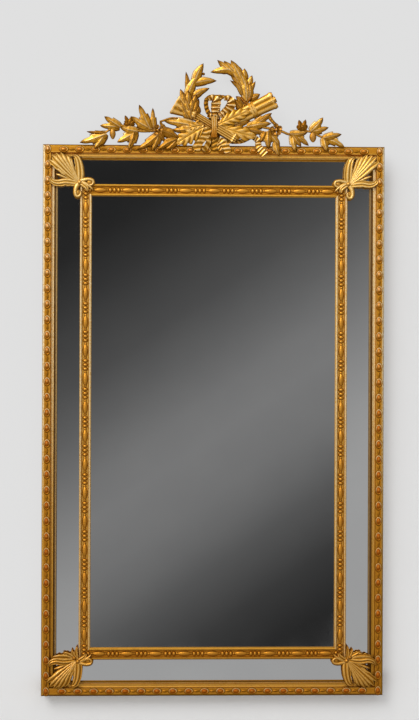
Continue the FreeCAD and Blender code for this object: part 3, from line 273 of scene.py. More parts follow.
def moulded_gold(name, box, span, tones, light=GOLD_LIGHT, body=GOLD, corner_shade=False, foot_shade=False):
    """Gilding on a moulding, with tones by the distance in from its outer edge as a share of span.

    The first flag paints shade into the corners, behind the corner leaves; the second paints shade
    towards the foot and takes the highlights away there."""
    material, shader, where = new_material(name)
    side, ends = edge_distances(where, *box)
    wavy = (where.noise(90.0) - 0.5) * 0.0012
    shade_and_dirt, wear_and_highlight, bole = ((side.least(ends) + wavy) / span).ramp(tones).split("Color")
    # Painted shade in the corners, behind the corner leaves.
    if corner_shade:
        shade_and_dirt = shade_and_dirt + side.most(ends).stretch(0.112, 0.094) * 1.2
    # Painted shade towards the foot.
    if foot_shade:
        height = where.split()[2]
        shade_and_dirt = shade_and_dirt + height.stretch(-0.45, -1.2, 0.0, 0.16)
        wear_and_highlight = wear_and_highlight * height.stretch(-0.15, -1.2, 1.0, 0.2)
    gild(shader, where, (shade_and_dirt, wear_and_highlight, bole), light, body, 0.25)
    return material


def washed_gold():
    """Ochre wash and thin gold on plain wood behind the carving."""
    material, shader, where = new_material("ochre_wash")
    cloud = where.noise(60.0, 4.0)
    gild(shader, where, (cloud.stretch(0.3, 0.7, 0.5, 0.8), 0.05, cloud.stretch(0.35, 0.65, 0.2, 0.4)))
    return material


# Gilding for the carving: the first colour of each is its wear and painted highlight colour; the corner gold
# for the foot is a darker copy, painted shade.
CARVED = carved_gold("carved_gold", (0.97, 0.75, 0.42, 1.0))
LEAFY = carved_gold("corner_gold", (0.95, 0.68, 0.28, 1.0), (0.80, 0.42, 0.055, 1.0), alone=True)
LEAFY_SHADED = carved_gold("corner_foot_gold_shaded", (0.84, 0.42, 0.06, 1.0), (0.65, 0.26, 0.012, 1.0), alone=True)
COMPO = carved_gold("ornament_gold", (0.96, 0.70, 0.34, 1.0), occlusion_shade_and_dirt=0.3)
WASHED = washed_gold()

# Tones across the mouldings: share of the width, painted shade and dirt, wear and painted highlight, and
# bole.
BAND_TONES = (
    (0.20, 0.15, 0.20, 0.10),
    (0.25, 0.10, 0.0, 0.30),
    (0.56, 0.10, 0.0, 0.30),
    (0.62, 0.0, 0.25, 0.12),
    (0.72, 0.0, 0.35, 0.05),
)
# The stiles' outer edge and fillet carry painted highlights, and the dark quirk by the slip is painted shade.
OUTER_SIDE = moulded_gold("outer_stile_gold", OUTER_BOX, OUTER_WIDTH, (
    (0.0, 0.25, 0.2, 0.15), (0.03, 0.0, 1.0, 0.0), (0.14, 0.0, 1.0, 0.0), *BAND_TONES,
    (0.79, 0.0, 0.85, 0.0), (0.955, 0.0, 0.90, 0.0), (0.975, 1.0, 0.0, 0.1),
), PALE, foot_shade=True)
# The rails' outer edge is dark with painted shade.
OUTER_END = moulded_gold("outer_rail_gold", OUTER_BOX, OUTER_WIDTH, (
    (0.0, 0.9, 0.0, 0.0), (0.10, 0.7, 0.0, 0.1), *BAND_TONES,
    (0.79, 0.0, 0.40, 0.03), (0.99, 0.0, 0.40, 0.03), (1.0, 0.4, 0.1, 0.0),
))


def inner_gold(name, fillet, shadow, floor, *colours):
    """Gilding on the inner frame: fillets to each side of a channel."""
    edge, step = (0.30, 0.2, 0.05), (0.25, 0.0, 0.25)
    tones = (
        (0.00, *edge), (0.03, shadow, fillet, 0.05), (0.17, shadow, fillet, 0.05),
        (0.21, *step), (0.25, *floor),
        (0.75, *floor), (0.79, *step), (0.83, 0.0, fillet, 0.0), (0.97, 0.0, fillet, 0.0), (1.00, *edge),
    )
    return moulded_gold(name, INNER_BOX, INNER_WIDTH, tones, *colours)


# Three copies of one gold: the stiles' fillets carry painted highlights, and the top and foot rails are
# darker with painted shade, most at the foot.
INNER_SIDE = inner_gold("inner_stile_gold", 0.80, 0.0, (0.0, 0.25, 0.10), PALE, (0.80, 0.42, 0.06, 1.0))
INNER_TOP_GOLD = inner_gold("inner_top_gold", 0.20, 0.15, (0.18, 0.0, 0.30))
INNER_FOOT_GOLD = inner_gold("inner_foot_gold", 0.30, 0.45, (0.05, 0.0, 0.40))
# Three copies of the slip gold: the top slip's dark band, the sides' dark lines and the foot slip's dark face
# are painted shade.
SLIP = moulded_gold("slip_gold", OUTER_BOX, SLIP_END, (
    (0.00, 0.0, 0.60, 0.0), (0.85, 0.0, 0.60, 0.0), (0.87, 0.95, 0.0, 0.1),
    (0.955, 1.0, 0.0, 0.1), (0.975, 0.25, 0.30, 0.0), (1.00, 0.30, 0.25, 0.0),
), corner_shade=True)
SLIP_SIDE = moulded_gold("slip_side_gold", OUTER_BOX, SLIP_END, (
    (0.00, 1.0, 0.0, 0.1), (0.835, 1.0, 0.0, 0.1), (0.865, 0.35, 0.1, 0.0), (0.90, 0.10, 0.40, 0.0),
    (0.94, 0.20, 0.30, 0.0), (0.97, 0.75, 0.0, 0.0), (1.00, 0.95, 0.0, 0.0),
), (0.68, 0.58, 0.44, 1.0), (0.46, 0.36, 0.20, 1.0), corner_shade=True)
SLIP_FOOT_SHADED = moulded_gold("slip_foot_shaded_gold", OUTER_BOX, SLIP_END, (
    (0.00, 0.0, 0.75, 0.0), (0.88, 0.0, 0.75, 0.0), (0.90, 1.0, 0.0, 0.0),
    (0.97, 1.0, 0.0, 0.0), (1.00, 0.70, 0.0, 0.0),
))


def silvering():
    """Silvered glass, very slightly hazed."""
    material, shader, where = new_material("silvered_glass")
    haze = where.noise(7.0, 4.0)
    plug(shader, where.tree, {
        "Base Color": haze.ramp(((0.3, 0.86, 0.865, 0.87), (0.7, 0.895, 0.90, 0.90))),
        "Metallic": 1.0,
        "Roughness": haze.stretch(0.3, 0.7, 0.012, 0.03),
    })
    return material


def pine(name, upright):
    """Aged pine with grain along the piece, patches of colour and a face greyed by dust."""
    material, shader, where = new_material(name)
    along = (26.0, 26.0, 1.2) if upright else (1.2, 26.0, 26.0)
    drawn = wire(where.tree, "ShaderNodeMapping", {0: where, 3: along})
    streak = drawn.noise(3.2, 6.0, 0.6)
    fine = drawn.noise(22.0, 4.0, 0.6)
    colour = streak.ramp((
        (0.30, 0.20, 0.105, 0.042), (0.48, 0.40, 0.245, 0.11),
        (0.62, 0.47, 0.31, 0.155), (0.78, 0.33, 0.19, 0.08),
    ))
    colour = blend(fine.stretch(0.35, 0.75) * 0.4, colour, (0.26, 0.15, 0.065, 1.0))
    colour = blend(where.noise(4.5).stretch(0.5, 0.8) * 0.45, colour, (0.30, 0.24, 0.17, 1.0))
    plug(shader, where.tree, {"Base Color": colour, "Roughness": fine.stretch(0.2, 0.8, 0.62, 0.85)})
    emboss(shader, streak + fine, 0.0006, 0.7)
    return material


def worn_metal(name, dark, light, metallic, low, high):
    material, shader, where = new_material(name)
    patch = where.noise(260.0, 4.0, 0.6)
    plug(shader, where.tree, {
        "Base Color": patch.ramp(((0.35, *dark), (0.68, *light))),
        "Metallic": metallic,
        "Roughness": patch.stretch(0.3, 0.7, low, high),
    })
    emboss(shader, patch + where.noise(1400.0, 2.0), 0.0003, 0.5)
    return material


def felted():
    material, shader, where = new_material("felt")
    fibre = where.noise(1800.0, 4.0, 0.7)
    colour = fibre.ramp(((0.3, 0.10, 0.075, 0.055), (0.7, 0.21, 0.165, 0.125)))
    plug(shader, where.tree, {"Base Color": colour, "Roughness": 0.95, "Sheen Weight": 0.4})
    emboss(shader, fibre, 0.0006)
    return material


MIRROR = silvering()
PINE_UP = pine("pine_upright", True)
PINE_FLAT = pine("pine_level", False)
IRON = worn_metal("iron", (0.018, 0.016, 0.015), (0.06, 0.048, 0.04), 0.75, 0.42, 0.62)
STEEL = worn_metal("steel", (0.20, 0.17, 0.14), (0.42, 0.39, 0.35), 0.95, 0.3, 0.5)
FELT = felted()


def dress(material, stem, *ends):
    """Gives a material to the pieces that share a stem of their names."""
    for end in ends:
        for slot in NODES[stem + end].material_slots:
            slot.material = material


dress(OUTER_SIDE, "outer_stile_", "left", "right")
dress(OUTER_END, "outer_rail_", "top", "bottom")
dress(INNER_SIDE, "inner_stile_", "left", "right")
dress(INNER_TOP_GOLD, "inner_rail_", "top")
dress(INNER_FOOT_GOLD, "inner_rail_", "bottom")
dress(WASHED, "crest_", "tongue")
dress(SLIP, "glazing_slip_", "top")
dress(SLIP_SIDE, "glazing_slip_", "left", "right")
dress(SLIP_FOOT_SHADED, "glazing_slip_", "bottom")
dress(MIRROR, "centre_", "plate")
dress(MIRROR, "margin_plate_", "left", "right", "top", "bottom")
dress(PINE_UP, "carcass_", "stile_left", "stile_right", "panel_upper", "panel_lower")
dress(PINE_FLAT, "carcass_rail_", "top", "middle", "bottom")
dress(PINE_FLAT, "mitre_", "keys")
dress(IRON, "hanger_", "plate_left", "plate_right", "ring_left", "ring_right")
for stem_name in ("outer_frame", "inner_frame", "crest", "hanger"):
    dress(STEEL, stem_name, "_screws")
dress(FELT, "wall_", "bumpers")

CRISP = math.radians(42.0)


class Carving:
    """Collects closed shapes with three tones a point: painted shade and dirt, wear and painted
    highlight, and bole.
    """

    def __init__(self):
        self.points = []
        self.faces = []
        self.tones = []
        self.layers = 0

    def seat(self, depth):
        """A seat a hair from the last one, so that backs that overlap don't share a plane."""
        self.layers += 1
        return depth + 0.006 * MM * (self.layers % 59)

    def point(self, x, depth, z, tone):
        self.points.append((x, -min(depth, LIMIT), z))
        self.tones.append(tone)
        return len(self.points) - 1

    def band(self, lower, upper):
        """A closed band of faces between two loops of points."""
        for k, start in enumerate(lower):
            after = (k + 1) % len(lower)
            self.faces.append((start, lower[after], upper[after], upper[k]))

    def relief(self, rows, seat):
        """A front grid of points closed by walls and a flat back at the seat."""
        seat = self.seat(seat)
        for upper, lower in zip(rows, rows[1:]):
            self.faces += zip(upper, upper[1:], lower[1:], lower)
        rim = rows[0] + [row[-1] for row in rows[1:]]
        rim += rows[-1][-2::-1] + [row[0] for row in rows[-2:0:-1]]
        under = []
        # Walls and back take a darker tone: painted shade under the relief.
        for index in rim:
            x, _, z = self.points[index]
            under.append(self.point(x, seat, z, (0.4, 0, 0.25)))
        self.band(under, rim)
        wide, tall = len(rows[0]), len(rows)
        right = under[wide - 1:wide + tall - 1]
        left = under[:1] + under[:2 * wide + tall - 4:-1]
        for k in range(1, tall - 2):
            self.faces.append((left[k], left[k + 1], right[k + 1], right[k]))
        self.faces.append((*under[:wide], right[1], left[1]))
        self.faces.append((*under[wide + tall - 2:2 * wide + tall - 2], left[-2], right[-2]))

    def rings(self, rings, top):
        """Rings of points from the seat upwards, closed at the top by one point and below by a face."""
        for lower, upper in zip(rings, rings[1:]):
            self.band(lower, upper)
        last = rings[-1]
        for k, start in enumerate(last):
            self.faces.append((start, last[(k + 1) % len(last)], top))
        self.faces.append(tuple(reversed(rings[0])))

    def build(self, name, node, material=CARVED):
        mesh = bpy.data.meshes.new(name)
        mesh.from_pydata(self.points, [], self.faces)
        layer = mesh.color_attributes.new("tone", "FLOAT_COLOR", "POINT")
        layer.data.foreach_set("color", [number for tone in self.tones for number in (*tone, 1.0)])
        work = bmesh.new()
        work.from_mesh(mesh)
        bmesh.ops.recalc_face_normals(work, faces=work.faces[:])
        work.to_mesh(mesh)
        work.free()
        mesh.shade_smooth()
        mesh.set_sharp_from_angle(angle=CRISP)
        mesh.materials.append(material)
        obj = placed(name, mesh)
        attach(obj, ROOT)
        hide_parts(node)


def placed(name, data):
    obj = bpy.data.objects.new(name, data)
    SCENE.collection.objects.link(obj)
    return obj


def trail(points):
    """A smooth path through points as a function of 0 to 1, even in length between the points."""
    lengths = [0.0]
    for a, b in zip(points, points[1:]):
        lengths.append(lengths[-1] + math.dist(a, b))
    last = len(points) - 1

    def place(share):
        reach = min(max(share, 0.0), 1.0) * lengths[-1]
        k = 0
        while k < last - 1 and lengths[k + 1] < reach:
            k += 1
        u = (reach - lengths[k]) / max(lengths[k + 1] - lengths[k], 1e-9)
        p1 = points[k]
        p2 = points[k + 1]
        p0 = points[k - 1] if k else [2 * a - b for a, b in zip(p1, p2)]
        p3 = points[k + 2] if k + 2 <= last else [2 * b - a for a, b in zip(p1, p2)]
        result = []
        for a, b, c, d in zip(p0, p1, p2, p3):
            cubic = -a + 3 * b - 3 * c + d
            square = 2 * a - 5 * b + 4 * c - d
            result.append(0.5 * (2 * b + (c - a) * u + square * u * u + cubic * u * u * u))
        return result

    return place


def bowed(base, tip, bend):
    """A path from base to tip, bowed sideways by a share of its length."""
    (x0, z0), (x1, z1) = base, tip
    middle = (x0 + (x1 - x0) * 0.5 - (z1 - z0) * bend, z0 + (z1 - z0) * 0.5 + (x1 - x0) * bend)
    return trail([base, middle, tip])


def table(*rows):
    """A function that reads a value between rows of place and value."""

    def read(place):
        if place <= rows[0][0]:
            return rows[0][1]
        for (p0, v0), (p1, v1) in zip(rows, rows[1:]):
            if place <= p1:
                return v0 + (v1 - v0) * (place - p0) / (p1 - p0)
        return rows[-1][1]

    return read


def wave(turns):
    """0 at whole turns and 1 between them."""
    return 0.5 - 0.5 * math.cos(2 * math.pi * turns)


def rim(low, t):
    """Rises from 0 at low to 1 at the edge."""
    return smooth(low, 1, abs(t))


def arc(t):
    return math.sqrt(max(1 - t * t, 0))


def sweep(carving, path, half, front, seat, tone, along, across, ragged=None):
    """A relief along a path: half width, front depth and tone are functions of place along and across.

    ragged gives a share of the width and a push along the path."""
    rows = []
    for i in range(along + 1):
        s = i / along
        x, z = path(s)
        ahead = path(min(s + 0.01, 1.0))
        behind = path(max(s - 0.01, 0.0))
        run = math.dist(ahead, behind)
        step = ((ahead[0] - behind[0]) / run, (ahead[1] - behind[1]) / run)
        wide = max(half(s), 0.0003)
        row = []
        for j in range(across + 1):
            t = -1.0 + 2.0 * j / across
            share, fore = ragged(s, t) if ragged else (1, 0)
            out = wide * t * share
            row.append(carving.point(
                x - step[1] * out + step[0] * fore, front(s, t),
                z + step[0] * out + step[1] * fore, tone(s, t),
            ))
        rows.append(row)
    carving.relief(rows, seat)


def leaf(carving, base, tip, width, seat, rise, bend, lean, dark, lift=(0.75, 1.0, 0.7), barb=0):
    """A pointed carved leaf: two facets that meet in a ridge, with a vein beside it and a darker tip.

    bend bows it sideways as a share of its length, lean raises one half over the other, barb draws its
    shoulders out to points. Its upper left edge, towards the light, has a painted highlight, and its lower
    right edge, vein, rib and foot have painted shade."""
    run = math.dist(base, tip)
    profile = table(*zip((0, 0.5, 1), lift))
    outline = table(
        (0, 0.70), (0.14, 0.94), (0.34, 1), (0.50, 0.97), (0.58, 0.81), (0.75, 0.61), (0.90, 0.31), (1, 0.03),
    )
    facing = ((tip[1] - base[1]) * 0.62 + (tip[0] - base[0]) * 0.78) / run

    def ragged(s, t):
        notch = smooth(0.50, 0.58, s) * (1 - smooth(0.62, 0.95, s))
        share = 1 + barb * abs(t) * (0.05 - 0.22 * notch)
        return (share, 0.13 * barb * run * abs(t) ** 3 * bump(s, 0.44, 0.09))

    def vein(s, t):
        lines = -math.cos(2 * math.pi * (s * 4.5 - abs(t) * 0.9))
        return smooth(0.55, 1, lines) * smooth(0.2, 0.4, abs(t)) * (1 - abs(t))

    def rib(s, t):
        return bump(t, 0.12, 0.08) * smooth(0, 0.15, s) * (1 - smooth(0.7, 1, s))

    def front(s, t):
        roof = 1 - 0.62 * abs(t) - 0.5 * rim(0.80, t) + lean * t
        crest = max(roof - 0.16 * rib(s, t) - 0.14 * vein(s, t), -0.3)
        return seat + rise * profile(s) * (0.32 + 0.64 * crest)

    # Painted highlight on the ridge and the side towards the light, painted shade on the other side, in the
    # veins and at the foot; the tip is darker.
    def tone(s, t):
        light = smooth(-0.5, 0.5, facing * t / max(abs(t), 0.05))
        edge = smooth(0.60, 0.92, abs(t)) * (1 - 0.85 * light) + smooth(0.70, 1, s) * 0.75
        foot = 0.5 * (1 - smooth(0, 0.35, s))
        shade_and_dirt = 0.85 * rib(s, t) + 1.1 * vein(s, t) + edge + foot + 0.14 * (1 - light) + dark
        shine = 0.8 * bump(t, 0, 0.13) + 0.95 * bump(abs(t), 0.84, 0.10) * light + 0.05 + 0.2 * light
        bole = 0.25 * smooth(0.4, 0.9, abs(t)) * (1 - light) + 0.5 * dark
        return (min(shade_and_dirt, 1), shine * (1 - dark) * (1 - smooth(0.75, 1, s)), bole)

    path = bowed(base, tip, bend)
    steps = max(14, int(run / PX))
    sweep(carving, path, lambda s: width / 2 * outline(s), front, seat, tone, steps, 20, ragged)


def acanthus(carving, base, tip, width, seat, rise, lobes, bend, lift=(0.6, 1, 0.6), peak=0.5):
    """A broad lobed leaf with deep grooves that run from the midrib out between its lobes."""
    power = math.log(0.5) / math.log(peak)
    profile = table(*zip((0, 0.5, 1), lift))

    def phase(s, t):
        return math.cos(2 * math.pi * (lobes * s - 0.95 * abs(t) ** 1.2))

    def half(s):
        return width / 2 * max(math.sin(math.pi * s ** power) ** 0.6, 0.2 * (1 - s))

    def ragged(s, t):
        notch = (0.5 - 0.5 * phase(s, t)) ** 2 * rim(0.45, t) * smooth(0, 0.1, s)
        return (1 - 0.30 * notch, width * 0.10 * abs(t) ** 2 * (1 - notch) * (1 - s))

    def ridge(s, t):
        groove = 0.40 * bump(t, 0, 0.10) * (1 - 0.5 * s)
        return 1 - 0.75 * abs(t) ** 2.2 - groove + 0.26 * phase(s, t) * smooth(0.10, 0.45, abs(t))

    def front(s, t):
        return seat + rise * profile(s) * (0.30 + 0.56 * ridge(s, t))

    # Painted shade in the troughs, down the midrib and at the rim; painted highlight on the ridges.
    def tone(s, t):
        trough = smooth(0.1, 0.4, abs(t)) * smooth(0.35, 1, -phase(s, t))
        shade_and_dirt = 0.85 * trough + 0.6 * bump(t, 0, 0.07) + 0.75 * rim(0.72, t)
        return (min(shade_and_dirt, 1), max(ridge(s, t) - 0.60, 0) * 1.1, 0.3 * trough)

    sweep(carving, bowed(base, tip, bend), half, front, seat, tone, lobes * 9, 18, ragged)


def stem(carving, points, width, seat, rise, dark=0):
    """A rounded twig along a run of pixels."""

    def front(s, t):
        return seat + rise * (0.35 + 0.65 * arc(t)) * (0.9 + 0.1 * math.sin(s * 40))

    # Painted shade at the rims, painted highlight along the middle.
    def tone(s, t):
        return (min(0.3 + dark + 0.5 * rim(0.5, t), 1), 0.4 * (1 - abs(t)) * (1 - dark), 0.2)

    def half(s):
        return width / 2 * PX * (1.05 - 0.3 * s)

    sweep(carving, trail(places(points)), half, front, seat, tone, 14 * (len(points) - 1), 6)


def dome(carving, x, z, radius, seat, height, tone, segments=16, levels=5, stretched=(1, 1)):
    """A half-round bead; tone is a function of the share up from its foot."""
    seat = carving.seat(seat)
    rings = []
    for level in range(levels):
        angle = level / levels * math.pi / 2
        reach = radius * math.cos(angle)
        ring = []
        for k in range(segments):
            turn = 2 * math.pi * k / segments
            ring.append(carving.point(
                x + reach * math.cos(turn) * stretched[0], seat + height * math.sin(angle),
                z + reach * math.sin(turn) * stretched[1], tone(level / levels),
            ))
        rings.append(ring)
    carving.rings(rings, carving.point(x, seat + height, z, tone(1)))


def bloom(carving, centre, radius, seat, rise, petals, turn, dark):
    """A small open flower: cupped petals round a button."""
    x, z = centre

    def half(s):
        return radius * 0.40 * max(math.sin(math.pi * min(s, 0.97) ** 1.5) ** 0.6, 0.35 * (1 - s))

    def front(s, t):
        return seat + rise * (0.42 + 0.30 * s * s + 0.22 * t * t - 0.12 * bump(t, 0, 0.2))

    # Painted shade at each petal's foot and down its middle, painted highlight towards its tip.
    def tone(s, t):
        shade_and_dirt = 0.55 * (1 - s) + 0.5 * bump(t, 0, 0.16) + dark
        return (min(shade_and_dirt, 1), 0.7 * s * (1 - dark), 0.2 + dark * 0.5)

    for k in range(petals):
        angle = turn + 2 * math.pi * k / petals
        ends = [(x + r * radius * math.cos(angle), z + r * radius * math.sin(angle)) for r in (0.18, 1)]
        sweep(carving, trail(ends), half, front, seat, tone, 8, 6)
    button = radius * 0.30
    # Painted shade at the button's foot, painted highlight on its top.
    tone = lambda up: (0.5 * (1 - up), 0.8 * up * (1 - dark), 0.2)
    dome(carving, x, z, button, seat, rise * 0.92, tone, 14)


def bud(carving, base, tip, width, seat, rise, dark=0.35):
    """A plump closed bud."""

    def half(s):
        return width / 2 * max(math.sin(math.pi * (0.06 + 0.9 * s)) ** 0.7, 0.2)

    def front(s, t):
        return seat + rise * (0.3 + 0.65 * arc(t) * math.sin(math.pi * (0.1 + 0.8 * s)))

    # Painted shade at the rims and in two creases, painted highlight down the middle.
    def tone(s, t):
        shade_and_dirt = dark + 0.3 * bump(abs(t), 0.36, 0.12) + 0.5 * rim(0.6, t)
        return (min(shade_and_dirt, 1), 0.5 * (1 - abs(t)), 0.3)

    sweep(carving, trail([base, tip]), half, front, seat, tone, 10, 10)


def leaves(carving, rows, seat, rise, lean, spread=0, barb=0):
    """Leaves from rows of base, tip and width in pixels, then sideways bow and darkness in hundredths.

    rise is a function of the row's number, and spread darkens the leaves by turns."""
    for k, (bx, by, tx, ty, width, bend, dark) in enumerate(rows):
        shade = dark / 100 + spread * (k * 7 % 5)
        tilt = lean if k % 2 else -lean
        height = rise(k) * MM
        leaf(carving, at(bx, by), at(tx, ty), width * PX, seat, height, bend / 100, tilt, shade, barb=barb)


# Laurel branches behind the trophy, from back to front.
LAUREL_LEFT_STEM = (
    (203, 122), (196, 115), (190, 106), (187.5, 96), (190.5, 86), (196, 77),
)
LAUREL_LEFT = (
    (188, 92, 186, 71.4, 5.6, -3, 45), (184.5, 99, 180.6, 88.8, 5.6, 3, 15), (193, 110, 199, 98, 6.4, -6, 35),
    (191, 99, 209.6, 87.6, 8.4, 7, 15), (193.5, 83, 216.6, 80.2, 9.2, 5, 10),
    (194.6, 82, 203.4, 63, 10, 4, 0), (187, 99, 197.6, 74, 10.4, 4, 0),
)
LAUREL_RIGHT_STEM = (
    (227, 131), (236, 118), (243, 108), (246, 97), (245, 86), (240, 76), (232, 70), (226, 69),
)
LAUREL_RIGHT = (
    (249, 98, 260.2, 93, 8.6, -4, 35), (246, 95, 255.6, 80.4, 6.6, -2, 25), (246, 87, 252.2, 74.4, 8, -5, 10),
    (243, 81, 244.6, 67.6, 9, -4, 5), (246, 97.5, 230.4, 79.6, 6.6, -10, 35),
    (244.5, 91, 230.6, 74.5, 7.4, -6, 30), (245, 114, 233.6, 97.6, 9, -2, 45),
    (244, 103, 236, 95.4, 7, -4, 30), (238, 74, 217.4, 59.5, 9.4, 5, 15), (239.5, 75, 224, 60.2, 8.6, 2, 5),
    (236, 68.5, 210.6, 71.6, 9, -3, 0), (242.5, 80, 231, 59.4, 10.6, 0, 0), (246, 90, 238, 67.6, 8.6, -5, 0),
    (249, 99, 250.4, 82, 7.6, -4, 5), (246.8, 100, 243.8, 74, 10.6, -2, 0),
    (243.6, 82, 236, 64.6, 5.6, -4, 5), (242.6, 94, 234.4, 80.6, 5.4, -6, 15),
    (248.4, 97, 247.2, 80.6, 5.2, -3, 0),
)


def laurel(name, stem_px, rows, berries=(), bands=()):
    carving = Carving()
    stem(carving, stem_px, 3.0, LAUREL, 5.5 * MM)
    leaves(carving, rows, LAUREL, lambda k: 5.4 + 4.4 * k / (len(rows) - 1), 0.10)
    for x, y, radius in berries:
        # Dark berries with a small painted highlight on top.
        dome(carving, *at(x, y), radius * PX, LAUREL, 5.0 * MM, lambda up: (0.95, 0.1 * up, 0.3), 12, 4)
    for points in bands:
        stem(carving, points, 2.8, LAUREL, 10.5 * MM)
    carving.build(name + "_carved", name)


laurel("crest_laurel_left", LAUREL_LEFT_STEM, LAUREL_LEFT, ((203.6, 73.4, 1.5),))
laurel(
    "crest_laurel_right", LAUREL_RIGHT_STEM, LAUREL_RIGHT, (),
    (((240.5, 96.5), (243.5, 100.5), (246.5, 103.5)), ((251, 97), (247.8, 101), (245, 104.5))),
)

# Leafy sprays over the rail, from back to front.
SPRAY_LEFT_STEM = (
    (199, 121), (192, 126), (178, 130), (164, 132), (157, 131), (146, 132.2), (137, 131.5), (128, 127.5),
    (121, 127), (112, 130), (105, 134.5),
)
SPRAY_LEFT = (
    (166, 131.5, 160, 121.6, 5, 5, 45), (158, 132, 165.6, 143, 6.4, 0, 55),
    (106.5, 134.8, 87.6, 133, 4.8, 2, 45), (104.5, 134.5, 100.6, 146, 5.6, 0, 35),
    (106, 134.8, 95, 150, 9.6, 3, 0), (107.5, 135.2, 80.7, 144, 10.4, 2, 0),
    (120.5, 128.2, 100.8, 127, 9.2, 0, 0), (121, 128.2, 105, 117.8, 9, 2, 0),
    (134.6, 132.2, 130.4, 148, 6.6, 2, 35), (136, 132.4, 129.2, 150.6, 9, 2, 0),
    (137, 133.2, 117.8, 143.4, 10.2, 0, 0), (138, 132.6, 120.4, 128, 9.6, 4, 5),
    (154.6, 132, 153, 109, 7, 2, 0), (152, 130, 131.2, 117.6, 10.4, 4, 10),
    (150.6, 130, 139.4, 106, 9.8, 2, 0), (178, 139.5, 165.5, 151, 7.6, 4, 50),
    (178, 139.5, 158, 150.8, 9.4, -5, 40), (162, 131.5, 179.4, 139.4, 10.4, 4, 40),
    (160, 133, 152.4, 152, 9, 3, 35), (161, 133.5, 137.2, 151, 9, 3, 30), (194.5, 129, 172, 131, 9.4, 3, 30),
    (194.5, 126.6, 164.4, 122, 10.8, -2, 0), (130, 127, 124, 124.5, 5, 0, 65),
    (131, 127, 135, 121.5, 5.6, 0, 65), (130, 127.5, 125.4, 116.6, 6.2, 0, 68),
    (130.6, 127.5, 131.4, 117.8, 6, 0, 65),
)
SPRAY_RIGHT_STEM = (
    (243, 128.5), (252, 126), (262, 127), (270, 128.5), (281, 131), (290, 134), (302, 131), (311, 131.4),
    (318, 135), (325, 137.6),
)
SPRAY_RIGHT = (
    (230, 128.5, 250, 120.6, 8.6, 0, 40), (244, 130.4, 266, 133.6, 8.6, 2, 35),
    (265.5, 132, 260, 142.5, 7.8, 0, 35), (252, 127, 271.6, 113, 9.6, 0, 35),
    (247, 127, 271, 123.4, 10, 3, 0), (268, 131.4, 268.6, 148.5, 10, -3, 25),
    (267, 131.4, 279.8, 145.4, 10.4, 2, 5), (275, 142, 279, 156, 7.6, -3, 0),
    (292, 134, 301, 146, 8.4, 0, 25), (291.5, 133.6, 308.6, 145.2, 8.4, 5, 10),
    (292.4, 133.6, 295.6, 151.4, 8.6, -2, 0), (289.5, 133.8, 307.4, 131.8, 8.6, -6, 5),
    (310.5, 131.2, 328.4, 126.8, 8.6, -2, 5), (310.5, 131, 322.8, 117, 9.6, -4, 0),
    (323, 137.8, 341.4, 133.6, 8.6, 2, 5), (323.5, 137.6, 344.8, 147, 8.6, 6, 0),
    (323.6, 137, 327.2, 151, 8.8, -2, 0), (302, 129.5, 296.2, 126, 6.2, 0, 65),
    (302, 129.5, 307.6, 125.6, 6.2, 0, 65), (302, 130, 298.6, 119.6, 7, 0, 68),
    (302.2, 130, 305.4, 119.2, 6.6, 0, 65),
)


def spray(name, stem_px, rows, twigs, flower, bud_px, berry, lobed=()):
    carving = Carving()
    stem(carving, stem_px, 2.8, LAP, 4.6 * MM, 0.1)
    for points, width in twigs:
        stem(carving, points, width, LAP, 3.8 * MM, 0.35)
    leaves(carving, rows, LAP, lambda k: 6.4 + 1.2 * (k % 3), 0.12, 0.04, 1.0)
    for bx, by, tx, ty, width, bend in lobed:
        acanthus(carving, at(bx, by), at(tx, ty), width * PX, LAP, 8.8 * MM, 5, bend)
    x, y, radius, dark = flower
    bloom(carving, at(x, y), radius * PX, LAP, 8.8 * MM, 5, 0.4, dark)
    bx, by, tx, ty, width = bud_px
    bud(carving, at(bx, by), at(tx, ty), width * PX, LAP, 6.5 * MM)
    x, y, radius = berry
    # A berry: dark, with a painted highlight on top.
    dome(carving, *at(x, y), radius * PX, LAP, 8.4 * MM, lambda up: (0.8, 0.35 * up, 0.4), 12)
    carving.build(name + "_carved", name)


spray(
    "crest_spray_left", SPRAY_LEFT_STEM, SPRAY_LEFT,
    (
        (((192, 125), (183, 120.6), (172, 119), (160.6, 122.4)), 2.6),
        (((154, 132.4), (141, 130.6), (131, 127.6)), 2.0),
    ),
    (158, 131, 5.4, 0.2), (113, 129.5, 113.5, 140.4, 6), (129.6, 124.6, 2),
    ((205, 125, 180, 132, 10, -0.02), (204.5, 127.5, 176.4, 144.4, 18, -0.02)),
)
spray(
    "crest_spray_right", SPRAY_RIGHT_STEM, SPRAY_RIGHT,
    ((((268.5, 116), (272, 121), (277, 126), (281, 131)), 3.6),),
    (276, 129.6, 6.2, 0.3), (312.4, 131.5, 313, 141.8, 7), (302, 126.4, 2.2),
)


def along_axis(axis, reach, offset):
    """A pixel at a distance along an axis and an offset to its right."""
    x0, y0, x1, y1 = axis
    run = math.hypot(x1 - x0, y1 - y0)
    step = ((x1 - x0) / run, (y1 - y0) / run)
    return (x0 + step[0] * reach - step[1] * offset, y0 + step[1] * reach + step[0] * offset)


